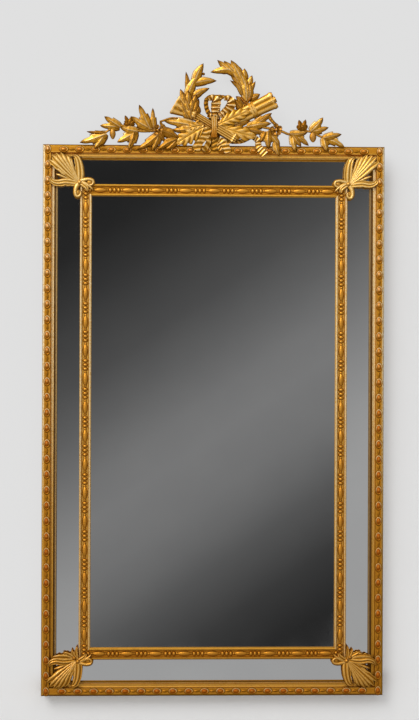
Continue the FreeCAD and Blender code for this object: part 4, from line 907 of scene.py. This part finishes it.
def shaft(carving, axis, halves, seat, rise, flutes, groove, rings=(), along=40, shoulder=0.26):
    """A half-round shaft of changing width with lengthwise flutes and raised rings."""
    start, stop = halves[0][0], halves[-1][0]
    width = table(*halves)

    def reach(s):
        return start + (stop - start) * s

    def ring_at(s):
        return max([bump(reach(s), centre, size) for centre, size in rings], default=0)

    def flute(t):
        return wave(flutes * (t + 1) / 2)

    def half(s):
        return (width(reach(s)) + 0.7 * ring_at(s)) * PX

    def front(s, t):
        ring = ring_at(s)
        body = shoulder + (0.92 - shoulder) * math.sqrt(max(1 - t * t * 0.94, 0))
        return seat + rise * min(body - groove * (1 - ring) * (1 - flute(t)) + 0.10 * ring, 1)

    # Painted shade in the flutes and at the rims, painted highlight on the flute ridges and rings.
    def tone(s, t):
        deep = smooth(0.4, 1, 1 - flute(t)) * (1 - ring_at(s))
        edge = rim(0.85, t)
        return (min(0.85 * deep + 0.7 * edge, 1), 0.55 * flute(t) * (1 - edge) + 0.3 * ring_at(s), 0.2 * deep)

    path = trail(places([along_axis(axis, end, 0) for end in (start, stop)]))
    sweep(carving, path, half, front, seat, tone, along, max(12, flutes * 6))


torch = Carving()
TORCH_AXIS = (176.2, 104.8, 237.5, 140.7)
TORCH_CUP = ((-1.6, 9.6), (0.6, 10.4), (5, 9), (11, 7), (17, 5.2))
TORCH_SHAFT = ((15.5, 4.8), (19, 5.4), (21, 5.6), (24, 4.5), (60, 4.3), (68, 4.5), (71, 3.4))
TORCH_END = ((47.6, 4.4), (60, 4.4), (66, 4.6), (69.4, 4.2))
shaft(torch, TORCH_AXIS, TORCH_CUP, TORCH, 8.6 * MM, 3, 0.06, ((-0.6, 1.2),), 24)
shaft(torch, TORCH_AXIS, TORCH_SHAFT, TORCH, 9.8 * MM, 4, 0.17, ((20, 1.4), (68, 1.2)), 56)
shaft(torch, TORCH_AXIS, TORCH_END, TORCH + 6.0 * MM, 20.0 * MM, 4, 0.07, ((66.6, 1),), 40, 0.80)
# The leaves of the flame, with height as a last column in hundredths.
TORCH_LEAVES = (
    (184, 106, 178.2, 97, 6.4, 5, 35, 74), (194, 108, 198.6, 100, 6.4, -5, 45, 74),
    (186, 104, 182.6, 92.4, 7, 4, 25, 80), (192, 106, 196.2, 94.6, 7, -4, 35, 80),
    (189, 104, 188, 90.6, 7.4, 0, 15, 84), (182, 112, 176.4, 104.6, 6, 5, 35, 84),
    (197, 114, 199.2, 106, 6, -5, 50, 84), (186, 112, 181, 100.6, 7.4, 5, 20, 90),
    (194, 113, 197, 102, 7, -5, 40, 90), (190, 112, 185.6, 98.4, 7.4, 4, 10, 94),
    (191.4, 112, 192, 98.4, 7.6, -3, 20, 94), (189, 119, 183, 108.4, 7.4, 4, 25, 96),
    (195, 119, 196.4, 109.4, 7, -4, 45, 96), (192, 119.4, 189.6, 105.4, 8, 2, 25, 100),
)
for bx, by, tx, ty, width, bend, dark, share in TORCH_LEAVES:
    rise = 11.6 * MM * share / 100
    leaf(torch, at(bx, by), at(tx, ty), width * PX, TORCH, rise, bend / 100, 0, dark / 100, (0.9, 1, 0.75))
torch.build("torch_carved", "crest_torch")

quiver = Carving()
QUIVER_AXIS = (214.0, 129.6, 271.0, 101.3)
QUIVER_HALVES = ((0, 5.2), (32, 7.3), (57, 8.2), (66, 8.6))
shaft(quiver, QUIVER_AXIS, QUIVER_HALVES, LAP, 8.4 * MM, 3, 0.16, ((65.2, 0.9),), 48)
for strap in (((40.8, 8.5), (43.2, 8.6)), ((43.8, 8.6), (46.2, 8.5))):
    shaft(quiver, QUIVER_AXIS, strap, LAP, 9.0 * MM, 1, 0, (), 8)


def flight(stop, offset, half_px):
    """The feathered end of an arrow in the quiver."""
    crown = 1 - 0.5 * abs(offset) / 5.5

    def front(s, t):
        barbs = 0.10 * math.cos(2 * math.pi * (s * 4 + abs(t) * 0.6))
        swell = (0.45 + 0.30 * (1 - t * t) + 0.2 * bump(t, 0, 0.2)) * crown
        return LAP + 8.6 * MM * min(swell + barbs * 0.5 + 0.1, 1)

    # Painted shade at the rims and the tip, painted highlight down the middle.
    def tone(s, t):
        return (min(0.95 * rim(0.6, t) + 0.8 * smooth(0.8, 1, s), 1), 0.5 * (1 - abs(t)), 0.2)

    ends = places([along_axis(QUIVER_AXIS, reach, offset) for reach in (60, stop)])
    sweep(quiver, trail(ends), lambda s: half_px * PX, front, LAP, tone, 14, 8)


for arrow in ((67.6, -5.7, 2.7), (68.6, 0, 2.8), (67.6, 5.7, 2.7)):
    flight(*arrow)
quiver.build("quiver_carved", "crest_quiver")


def pleated(carving, points, width, seat, rise, pleats, depth, widths, crown, dark, slant=0):
    """A ribbon along a run of pixels, crossed by pleats that show as stripes."""
    taper = table(*widths)

    def fold(s, t):
        return 1 - wave(pleats * s + 0.10 * math.sin(2.2 * t) + slant * t)

    def ragged(s, t):
        return (1 + 0.07 * (fold(s, t) - 0.5) * rim(0.7, t), 0)

    def front(s, t):
        return seat + rise * (0.60 + crown * (1 - t * t) - depth * (1 - fold(s, t)) + 0.12 * rim(0.75, t))

    # Painted shade in the folds and at the rims, painted highlight on the crests of the pleats.
    def tone(s, t):
        deep = smooth(0.35, 1, 1 - fold(s, t))
        shade_and_dirt = 0.8 * deep + rim(0.88, t) * 0.35 + dark
        return (min(shade_and_dirt, 1), 0.95 * smooth(0.45, 1, fold(s, t)) * (1 - dark), 0.25 * deep)

    half = width / 2 * PX
    sweep(carving, trail(places(points)), lambda s: half * taper(s), front, seat, tone, pleats * 8, 8, ragged)


# Ribbons: path, width, pleats and widths along it. Then come height and darkness for the bow, and darkness
# and slant of the pleats for the tails.
EVEN = ((0, 1), (1, 1))
FULL = ((0, 0.42), (0.25, 0.75), (0.5, 1), (0.75, 0.85), (1, 0.48))
BOW = (
    (((214, 115.8), (209, 113.4), (206.4, 107), (206.4, 100.4), (209.6, 97.4), (213.6, 96.8)),
     4.4, 7, EVEN, 0.7, 0.85),
    (((218.6, 113.4), (219, 106.5), (219.6, 100.5), (223, 97.2), (228, 96.4)), 2.6, 6, EVEN, 0.7, 0.45),
    (((212, 96.8), (218, 96.2), (224, 96.6)), 3, 3, EVEN, 0.6, 0.85),
    (((208.5, 98.8), (212.6, 97.8), (216, 101), (215.4, 107.4), (214.2, 115.5)), 9.8, 6, FULL, 1, 0.05),
    (((224, 98), (228.8, 98.4), (231, 102.8), (229.4, 108), (224.4, 112.6), (219, 115.8)),
     9.8, 7, FULL, 1, 0),
    (((207.5, 114.6), (215, 117), (224, 113.8)), 4.6, 5, EVEN, 1, 0.25),
)
bow = Carving()
for points, width, pleats, widths, share, dark in BOW:
    pleated(bow, points, width, TORCH, 11.6 * MM * share, pleats, 0.3, widths, 0.18, dark)
bow.build("ribbon_bow_carved", "crest_ribbon_bow")

TAILS = (
    (((208, 128), (206, 134.5), (201.4, 140), (198, 145), (195.6, 150.6)),
     8.6, 5, ((0, 0.9), (1, 0.95)), 0.2, 0.35),
    (((207.6, 136), (208.4, 142), (206.4, 147), (203.6, 151)), 5.6, 3, ((0, 0.9), (1, 0.9)), 0.4, -0.3),
    (((214.5, 136), (215, 142), (214.2, 150)), 7, 3, ((0, 0.9), (1, 0.9)), 0.6, 0.3),
    (((226, 140.6), (234, 141.8), (242, 141.2), (250, 137.4)), 5.2, 6, ((0, 0.9), (1, 0.8)), 0.5, 0.2),
    (((219, 139.4), (223.4, 142.4), (225.8, 147), (228, 152.6)),
     8.2, 4, ((0, 0.6), (0.5, 1.1), (1, 0.8)), 0.05, -0.4),
    (((220, 141), (219, 145.4), (220.6, 150.6)), 5.4, 3, ((0, 0.7), (1, 0.9)), 0.3, 0.35),
    (((252.6, 136.6), (257.6, 140.6), (258.8, 147), (264.6, 154.4)), 7.6, 7, ((0, 0.7), (1, 1)), 0, 0),
)
tails = Carving()
for points, width, pleats, widths, dark, slant in TAILS:
    pleated(tails, points, width, LAP, 5.0 * MM, pleats, 0.34, widths, 0.1, dark, slant)
tails.build("ribbon_tails_carved", "crest_ribbon_tails")


def tie_front(s, t):
    curve = 0.35 * math.sqrt(max(1 - t * t * 0.9, 0))
    return FRONT + 4.9 * MM * (0.45 + curve + 0.18 * wave(1.5 * (t + 1)))


# Painted shade in the flutes and at the rims, painted highlight on the ridges; darker and redder down its
# lower part.
def tie_tone(s, t):
    flutes = wave(1.5 * (t + 1))
    low = smooth(0.35, 1, s)
    shade_and_dirt = 0.5 * (1 - flutes) + 0.3 * rim(0.85, t) + 0.3 * low
    return (shade_and_dirt, 0.8 * flutes * (1 - 0.8 * low), 0.15 + 0.5 * low)


tie = Carving()
tie_path = trail(places(((214, 117.5), (214.3, 128), (214, 138))))
sweep(tie, tie_path, lambda s: (3.2 - 0.5 * math.sin(math.pi * s)) * PX, tie_front, FRONT, tie_tone, 20, 24)
tie.build("tie_carved", "crest_tie")

centre = Carving()
acanthus(
    centre, at(221.0, 127.4), at(255.4, 137.2), 14.6 * PX, FRONT, 5.4 * MM, 4, -0.02, (0.25, 1, 0.6), 0.58,
)
acanthus(centre, at(217.4, 126.0), at(249.2, 111.4), 14.2 * PX, FRONT, 5.8 * MM, 5, 0.02)
centre.build("centre_leaves_carved", "crest_centre_leaves")


def turned(upright, across, along):
    """Distances across and along a run as x and z."""
    return (across, along) if upright else (along, across)


def bar(x, z, reach, upright):
    """A straight path along a run, to both sides of a place."""
    dx, dz = turned(upright, 0, reach)
    return trail([(x - dx, z - dz), (x + dx, z + dz)])


# Ovals and darts on the outer band. The rings of an oval: size, height in mm, painted shade and dirt,
# wear and painted highlight, and bole. The outer rings paint shade round the oval's foot.
OVAL_ACROSS = 8.4 * MM
OVAL_ALONG = 12.2 * MM
OVAL_RINGS = (
    (1.14, 0.15, 0.85, 0, 0.4), (1, 0.3, 0.85, 0, 0.4), (0.97, 2.2, 0.1, 0.8, 0), (0.90, 3.3, 0, 1, 0),
    (0.76, 3.3, 0, 1, 0), (0.68, 2.6, 0.55, 0.1, 0.8), (0.63, 2.8, 0.25, 0, 1), (0.52, 3.8, 0.05, 0.05, 1),
    (0.38, 4.6, 0, 0.1, 0.95), (0.20, 5.1, 0, 0.35, 0.7),
)
OVAL_SIDES = 24


def oval(carving, x, z, upright):
    """A rimmed oval with a bole-red boss in it: painted highlight on the rim's upper part, painted shade
    on its lower part, and the boss paler higher up.
    """
    head = not upright and z > 0
    # Ovals are paler higher up the stiles and on the top rail: painted light.
    pale = 0.6 * smooth(-0.65, 0.05, z) if upright else 0.4 * head
    rings = []
    for share, rise, shade_and_dirt, wear_and_highlight, bole in OVAL_RINGS:
        if share < 0.66:
            wear_and_highlight += 0.75 * pale
            bole *= 1 - 0.75 * pale
        ring = []
        for k in range(OVAL_SIDES):
            angle = 2 * math.pi * k / OVAL_SIDES
            across = OVAL_ACROSS * share * math.cos(angle)
            dx, dz = turned(upright, across, OVAL_ALONG * share * math.sin(angle))
            # The upper part of each ring takes painted highlight, the lower part painted shade.
            upper_light = smooth(-0.9, 0.3, math.sin(angle) if upright else math.cos(angle))
            shine = wear_and_highlight * upper_light * (0.6 if head else 1)
            tone = (max(shade_and_dirt, 0.45 * (1 - upper_light)), shine, max(bole, 0.4 * (1 - upper_light)))
            ring.append(carving.point(x + dx, BAND - 0.1 * MM + rise * MM, z + dz, tone))
        rings.append(ring)
    carving.rings(rings, carving.point(x, BAND + 5.2 * MM, z, (0, 0.45 + 0.5 * pale, 0.6 * (1 - pale))))


def dart(carving, x, z, upright, pitch):
    """A small ridged dart between two ovals."""

    def front(s, t):
        return BAND - 0.1 * MM + 3.0 * MM * (0.15 + 0.8 * (1 - abs(t)) * math.sin(math.pi * (0.1 + 0.8 * s)))

    # Painted shade on its sides.
    def tone(s, t):
        return (0.4 + 0.4 * rim(0.4, t), 0, 0.3)

    def half(s):
        return 4.0 * MM * math.sin(math.pi * (0.05 + 0.9 * s)) ** 0.8

    path = bar(x, z, (pitch - 28.0 * MM) / 2, upright)
    sweep(carving, path, half, front, BAND - 0.3 * MM, tone, 8, 8)


BAND_MID = 14.0 * MM
for side, upright, cross, low, high, steps in (
    ("left", True, BAND_MID - HALF, FOOT, TOP, 35),
    ("right", True, HALF - BAND_MID, FOOT, TOP, 35),
    ("top", False, TOP - BAND_MID, -HALF, HALF, 21),
    ("bottom", False, FOOT + BAND_MID, -HALF, HALF, 21),
):
    run = Carving()
    pitch = (high - low - 2 * BAND_MID) / steps
    inset = 0 if upright else 1
    for k in range(inset, steps + 1 - inset):
        oval(run, *turned(upright, cross, low + BAND_MID + k * pitch), upright)
    for k in range(inset, steps - inset):
        dart(run, *turned(upright, cross, low + BAND_MID + (k + 0.5) * pitch), upright, pitch)
    run.build("ovals_%s_moulded" % side, "oval_run_" + side, COMPO)

# Bead and reel in the inner channel.
OLIVE_REACH = 21.5 * MM
OLIVE_GIRTH = table(
    (0, 0.50), (0.05, 0.62), (0.075, 0.60), (0.09, 0.40), (0.12, 0.46), (0.2, 0.70), (0.35, 0.93), (0.5, 1),
    (0.65, 0.93), (0.8, 0.70), (0.88, 0.46), (0.91, 0.40), (0.925, 0.60), (0.95, 0.62), (1, 0.50),
)
BEAD_PITCH = 79.0 * MM
PEARL = 5.7 * MM
PEARL_STEP = 11.5 * MM
END_GAPS = (7.0 * MM, 18.0 * MM, 28.75 * MM)


def olive(carving, x, z, upright):
    """A long olive between two small collars."""

    def front(s, t):
        return FLOOR + 5.9 * MM * OLIVE_GIRTH(s) * arc(t)

    # Painted shade at the collars and rims, painted highlight along the middle.
    def tone(s, t):
        collar = bump(min(s, 1 - s), 0.09, 0.02)
        return (min(0.8 * collar + 0.5 * rim(0.7, t), 1), 0.22 * (1 - 0.5 * abs(t)) * (1 - collar), 0.30)

    path = bar(x, z, OLIVE_REACH, upright)
    sweep(carving, path, lambda s: 7.6 * MM * OLIVE_GIRTH(s), front, FLOOR - 0.3 * MM, tone, 30, 10)


# Painted shade at a pearl's foot, painted highlight on its top.
def pearl_tone(up):
    return (1 - smooth(0.05, 0.6, up), 0.5 * smooth(0.6, 1, up), 0.8 * (1 - smooth(0.3, 0.95, up)))


MID_HEIGHT = (INNER_TOP + INNER_FOOT) / 2
for side, upright, cross, middle, count in (
    ("left", True, CHANNEL - INNER_HALF, MID_HEIGHT, 15),
    ("right", True, INNER_HALF - CHANNEL, MID_HEIGHT, 15),
    ("top", False, INNER_TOP - CHANNEL, 0, 8),
    ("bottom", False, INNER_FOOT + CHANNEL, 0, 8),
):
    run = Carving()
    for k in range(count + 1):
        olive(run, *turned(upright, cross, middle + (k - count / 2) * BEAD_PITCH), upright)
    threes = [(k - (count - 1) / 2) * BEAD_PITCH for k in range(count)]
    pearls = [place + nudge for place in threes for nudge in (-PEARL_STEP, 0, PEARL_STEP)]
    last = count / 2 * BEAD_PITCH + OLIVE_REACH
    for gap in END_GAPS if upright else END_GAPS[:1]:
        pearls += [last + gap, -last - gap]
    for offset in pearls:
        x, z = turned(upright, cross, middle + offset)
        dome(run, x, z, PEARL, FLOOR - 0.4 * MM, 6.0 * MM, pearl_tone, stretched=turned(upright, 1.34, 0.98))
    run.build("beads_%s_moulded" % side, "bead_run_" + side, COMPO)

# Fronds of the corner leaves: path and widths in pixels, then height, flutes, scallop and droop.
FAN = (
    ((80, 184.4), (68, 176), (57.5, 167), (49.8, 160.8)), ((80, 183), (73.5, 171), (69.5, 162), (67.2, 156)),
    ((80, 184), (69, 173.5), (60, 164), (52.6, 156.2)),
    ((80, 183.2), (72, 171.5), (65.8, 162), (61.6, 153.9)),
    ((80, 183.4), (70.4, 172.2), (62.8, 162.8), (56.8, 154.4)),
)
FAN_WIDTHS = ((0, 2.6), (0.5, 5.4), (0.82, 6.6), (1, 4.4))
FRONDS = (
    (((78, 178), (74.2, 169), (72.8, 164), (71.8, 158.8)), ((0, 1.6), (0.6, 3.4), (1, 2.4)), 0.72, 1),
    (((73, 179), (65, 174.4), (60, 171), (55.6, 167.6)), ((0, 1.6), (0.6, 3.8), (1, 2.6)), 0.72, 1),
    (((72, 181), (65, 178), (60.5, 176.2), (57, 175)), ((0, 1.6), (0.6, 3.2), (1, 2.2)), 0.68, 1),
    (((80.4, 184), (80.4, 173), (79.2, 163.5), (76.6, 158), (73.2, 157)),
     ((0, 6), (0.25, 9.4), (0.55, 9), (0.8, 7), (1, 4)), 0.96, 2.5, 0.16, 0.2),
    (((78, 184.2), (67, 183), (59, 184), (53.4, 182.2), (51.2, 177.6)),
     ((0, 5.4), (0.25, 7.8), (0.6, 7.4), (0.85, 5.4), (1, 3.4)), 0.96, 2.5, 0.14, 0.2),
    (((80, 182), (84.6, 180.8), (89.4, 180), (93.2, 181), (94, 183.6),
      (92, 185.8), (89.6, 185.4), (89, 183.8)),
     ((0, 5), (0.3, 4), (0.7, 3.4), (1, 2.4)), 0.92, 1, 0, 0.1),
)
FRONDS_HEAD = (
    (((79.4, 184), (77.2, 188), (76.2, 192.4), (76.8, 196), (79.2, 197.2),
      (81.4, 195.2), (81.2, 192.4), (79.6, 191.8)),
     ((0, 5), (0.3, 4.8), (0.7, 3.8), (1, 2.6)), 0.92, 1, 0, 0.1),
)
FRONDS_FOOT = (
    (((78, 185.6), (70, 188.4), (62, 188.8), (54.6, 188)),
     ((0, 4.6), (0.4, 6), (0.8, 4.4), (1, 1.6)), 0.8, 1.5, 0.45, 0.2),
    (((79, 185.6), (73.4, 189.8), (69, 192.2), (65.4, 193)),
     ((0, 4.6), (0.5, 4.8), (1, 1.2)), 0.84, 1.5, 0.4, 0.2),
    (((79.4, 185), (76.6, 190.4), (75.2, 194), (74.6, 196.8)),
     ((0, 4.6), (0.5, 4.4), (1, 1.2)), 0.88, 1.5, 0.3, 0.2),
    (((79.8, 184.6), (79.2, 190.4), (79.2, 195.4), (79.8, 200)),
     ((0, 5), (0.5, 4.4), (1, 1.2)), 0.92, 1.5, 0.2, 0.2),
)
FRONDS_LAST = (
    (((80, 183), (84.4, 185.6), (87.4, 188.4), (88.4, 192.4)),
     ((0, 4.6), (0.5, 5.6), (1, 3)), 0.9, 2, 0.1, 0.1),
    (((80, 182), (86, 184.2), (91, 187.6), (94, 191)), ((0, 3.6), (0.5, 4.2), (1, 2)), 0.8, 1, 0.1, 0.1),
)
HUB_PX = (80.4, 183.2)
INNER_CORNER_PX = (81.0, 184.7)


def corner_leaf(name, side_x, side_z, squeeze):
    """Corner acanthus, drawn in pixels outwards from the inner frame's corner."""
    carving = Carving()
    corner_x = side_x * INNER_HALF
    corner_z = INNER_TOP if side_z > 0 else INNER_FOOT
    top = 56.2 * MM - SEAT
    hand = -side_x * side_z

    def spot(px, py):
        right, down = INNER_CORNER_PX
        return (corner_x + side_x * (right - px) * PX, corner_z + side_z * (down - py) * PX * squeeze)

    def frond(points, widths, share, flutes, scallop=0, droop=0.35):
        """A leaf that broadens outwards and rolls over at its tip, with lengthwise flutes."""
        wide = table(*widths)

        def flute(t):
            return wave(flutes * (t + 1) / 2)

        def half(s):
            return wide(s) / 2 * PX * math.sqrt(max(1 - smooth(0.86, 1.04, s), 0.05))

        def ragged(s, t):
            return (1 - smooth(0.5, 1, t * hand) * scallop * (1 - wave(s * 5)), 0)

        def front(s, t):
            arch = 0.55 + 0.40 * math.sin(math.pi * min(s * 1.1, 1) * 0.62) - droop * smooth(0.72, 1, s)
            swell = 0.62 + 0.26 * (1 - t * t) + 0.20 * (flute(t) - 0.5)
            return SEAT + top * share * min(arch * swell, 1)

        # Painted shade in the flutes and at the rims, painted highlight on the flute ridges; darker at the
        # tip.
        def tone(s, t):
            deep = smooth(0.45, 1, 1 - flute(t)) * smooth(0.05, 0.2, s)
            edge = rim(0.85, t) * 0.5
            tip = smooth(0.8, 1, s) * 0.35
            return (min(0.75 * deep + edge + tip, 1), 0.9 * flute(t) * (1 - edge) * (1 - tip), 0.15 * deep)

        path = trail([spot(*point) for point in points])
        sweep(carving, path, half, front, SEAT, tone, 26, max(10, int(flutes * 8)), ragged)

    for k, points in enumerate(FAN):
        frond(points, FAN_WIDTHS, 0.84 + 0.04 * k, 1.5, 0.30)
    for row in FRONDS + (FRONDS_HEAD if side_z > 0 else FRONDS_FOOT) + FRONDS_LAST:
        frond(*row)
    second_eye = (78.8, 193.6, 3.6, 0.55) if side_z > 0 else (77.0, 186.8, 2.4, 1.0)
    # Eyes and hub: painted shade at the foot, painted highlight on top.
    for px, py, radius, height in ((90.6, 183.2, 3.4, 0.55), second_eye):
        tone = lambda up: (0.8 - 0.5 * up, 0.4 * up, 0.15)
        dome(carving, *spot(px, py), radius * PX, SEAT, top * height, tone)
    dome(carving, *spot(*HUB_PX), 2.6 * PX, SEAT, top * 0.98, lambda up: (0.5 * (1 - up), 0.6 * up, 0.1))
    # The corners at the foot take the darker copy of the gold: painted shade.
    carving.build(name + "_carved", name, LEAFY if side_z > 0 else LEAFY_SHADED)


for end, side_z, squeeze in (("top", 1, 1), ("bottom", -1, 101.0 / 109.5)):
    for side, side_x in (("left", -1), ("right", 1)):
        corner_leaf("corner_leaf_%s_%s" % (end, side), side_x, side_z, squeeze)


# Camera: a little to the left of square on, with a hair of roll, as in the photograph.
DISTANCE = 5.0
CENTRE_X = -0.0113
CENTRE_Z = -0.2956
FIELD = 2.0006
AIM_Y = -0.041
SENSOR = 36.0
SWING = math.radians(2.2)
ROLL = math.radians(0.22)
EYE_X = CENTRE_X - DISTANCE * math.sin(SWING)
EYE_Y = AIM_Y - DISTANCE * math.cos(SWING)
camera_data = bpy.data.cameras.new("camera")
camera_data.sensor_width = SENSOR
camera_data.lens = SENSOR * DISTANCE / FIELD
camera_data.clip_end = 100.0
camera = placed("camera", camera_data)
camera.matrix_world = (
    Matrix.Translation((EYE_X, EYE_Y, CENTRE_Z))
    @ Matrix.Rotation(-SWING, 4, "Z")
    @ Matrix.Rotation(math.pi / 2, 4, "X")
    @ Matrix.Rotation(ROLL, 4, "Z")
)
SCENE.camera = camera


# Stage: a pale wall and floor that show from their front only.
def one_sided(name, colour, pale=0):
    """Matt paint seen from its front only; pale keeps the camera's view of it light round the frame."""
    material = bpy.data.materials.new(name)
    tree = cleared(material)
    where = wire(tree, "ShaderNodeTexCoord", out="Object")
    stops = [(place, *(value * share for value in colour)) for place, share in ((0.3, 0.985), (0.7, 1.01))]
    paint = wire(tree, "ShaderNodeBsdfDiffuse", {"Color": where.noise(3.0, 4.0).ramp(stops)})
    if pale:
        x, _, z = where.split()
        below = z.stretch(FOOT + 0.08, FOOT - 0.01)
        beside = x.stretch(HALF - 0.06, HALF) * z.stretch(TOP, TOP - 0.1)
        shadow = (below + beside * 0.6 + 0.12).clamped()
        seen = wire(tree, "ShaderNodeLightPath", out="Is Camera Ray")
        light = wire(tree, "ShaderNodeEmission", {"Color": (pale, pale, pale, 1.0)})
        paint = wire(tree, "ShaderNodeMixShader", {0: seen * (1.0 - shadow), 1: paint, 2: light})
    clear = wire(tree, "ShaderNodeBsdfTransparent")
    facing = wire(tree, "ShaderNodeNewGeometry", out="Backfacing")
    both = wire(tree, "ShaderNodeMixShader", {0: facing, 1: paint, 2: clear})
    put(tree, "ShaderNodeOutputMaterial", {0: both})
    return material


def plane(name, corners, material):
    mesh = bpy.data.meshes.new(name)
    mesh.from_pydata(corners, [], [(0, 1, 2, 3)])
    mesh.materials.append(material)
    obj = placed(name, mesh)
    obj.visible_shadow = False
    obj.visible_glossy = False
    return obj


FLOOR_Z = -1.75
WALL_Y = 0.001
SPREAD = 6
WALL_PAINT = one_sided("wall_paint", (0.805, 0.812, 0.825), 0.745)
FLOOR_PAINT = one_sided("floor_paint", (0.72, 0.715, 0.70))
low_left, low_right = (-SPREAD, WALL_Y, FLOOR_Z), (SPREAD, WALL_Y, FLOOR_Z)
wall = plane("wall", [low_left, low_right, (SPREAD, WALL_Y, 6), (-SPREAD, WALL_Y, 6)], WALL_PAINT)
wall.visible_diffuse = False
plane("floor", [(-SPREAD, -8, FLOOR_Z), (SPREAD, -8, FLOOR_Z), low_right, low_left], FLOOR_PAINT)

sun_data = bpy.data.lights.new("key", "SUN")
sun_data.energy = 1.0
sun_data.angle = math.radians(28)
sun_data.color = (1.0, 0.985, 0.96)
sun = placed("key", sun_data)
sun.rotation_euler = Vector((0.62, 1.0, -0.85)).to_track_quat("-Z", "Y").to_euler()

# World: soft light from the upper left, and the dim room that the plates reflect. The room is laid out by
# where a ray from the camera meets the glass, in pixels of the photograph.
FRAME_PX = (419, 720)
SLANT_PX = 800.0
GLASS_AWAY = -EYE_Y - GLASS
PER_PX = FIELD / FRAME_PX[1]
SILVER = 0.885
SKY = (0.76, 0.76, 0.765, 1.0)


def greys(*stops):
    """Stops of a ramp along the slant, from grey values of the photograph."""
    result = []
    for place, value in stops:
        share = value / 255
        linear = share / 12.92 if share <= 0.04045 else ((share + 0.055) / 1.055) ** 2.4
        result.append((place / SLANT_PX, *(linear / SILVER,) * 3))
    return result


MARGIN_GREYS = greys(
    (220, 33), (249, 38), (290, 53), (362, 76), (405, 96), (449, 116), (492, 133), (536, 146), (590, 155),
)
CENTRE_GREYS = greys(
    (220, 33), (249, 37), (290, 51), (362, 75), (405, 95), (449, 114), (482, 119), (531, 112), (563, 100),
    (590, 84), (640, 57), (690, 38),
)
world = bpy.data.worlds.new("room")
SCENE.world = world
tree = cleared(world)
direction = wire(tree, "ShaderNodeTexCoord", out="Generated")
ray_x, ray_y, ray_z = direction.split()
ahead = (ray_y * -1.0).most(0.001)
mirror_x = ray_x / ahead * GLASS_AWAY + EYE_X
mirror_z = ray_z / ahead * GLASS_AWAY + CENTRE_Z
px_x = (mirror_x - CENTRE_X) * (1 / PER_PX) + FRAME_PX[0] / 2
px_z = FRAME_PX[1] / 2 - (mirror_z - CENTRE_Z) * (1 / PER_PX)
slant = (px_x * 0.564 + px_z * 0.826) / SLANT_PX
spot = wire(tree, "ShaderNodeCombineXYZ", {0: mirror_x, 2: mirror_z})
side, ends = edge_distances(spot, INNER_HALF - CHANNEL, INNER_TOP - CHANNEL, INNER_FOOT + CHANNEL)
view = blend(side.least(ends).stretch(-0.004, 0.004), slant.ramp(MARGIN_GREYS), slant.ramp(CENTRE_GREYS))
side, ends = edge_distances(spot, *OUTER_BOX)
patch = side.least(ends).stretch(-0.12, 0.03) * ray_y.math("LESS_THAN", 0.0)
from_left = {0: direction, 1: (-0.43, -0.69, 0.58)}
lobe = wire(tree, "ShaderNodeVectorMath", from_left, "Value", operation="DOT_PRODUCT") * 0.5 + 0.5
room = lobe.ramp((
    (0.0, 0.36, 0.355, 0.35), (0.45, 0.46, 0.455, 0.45), (0.80, 0.66, 0.655, 0.65), (1.0, 1.0, 0.995, 0.98),
))
gleam = lobe.ramp((
    (0.0, 0.13, 0.125, 0.12), (0.36, 0.19, 0.185, 0.18), (0.60, 0.40, 0.395, 0.385),
    (0.84, 0.74, 0.735, 0.72), (0.93, 1.05, 1.04, 1.02), (1.0, 1.5, 1.48, 1.45),
))
glossy = wire(tree, "ShaderNodeLightPath", out="Is Glossy Ray")
seen = blend(glossy, room, blend(patch, gleam, view))
seen = blend(wire(tree, "ShaderNodeLightPath", out="Is Camera Ray"), seen, SKY)
background = wire(tree, "ShaderNodeBackground", {"Color": seen, "Strength": 1.0})
put(tree, "ShaderNodeOutputWorld", {0: background})

SCENE.view_settings.view_transform = "Standard"
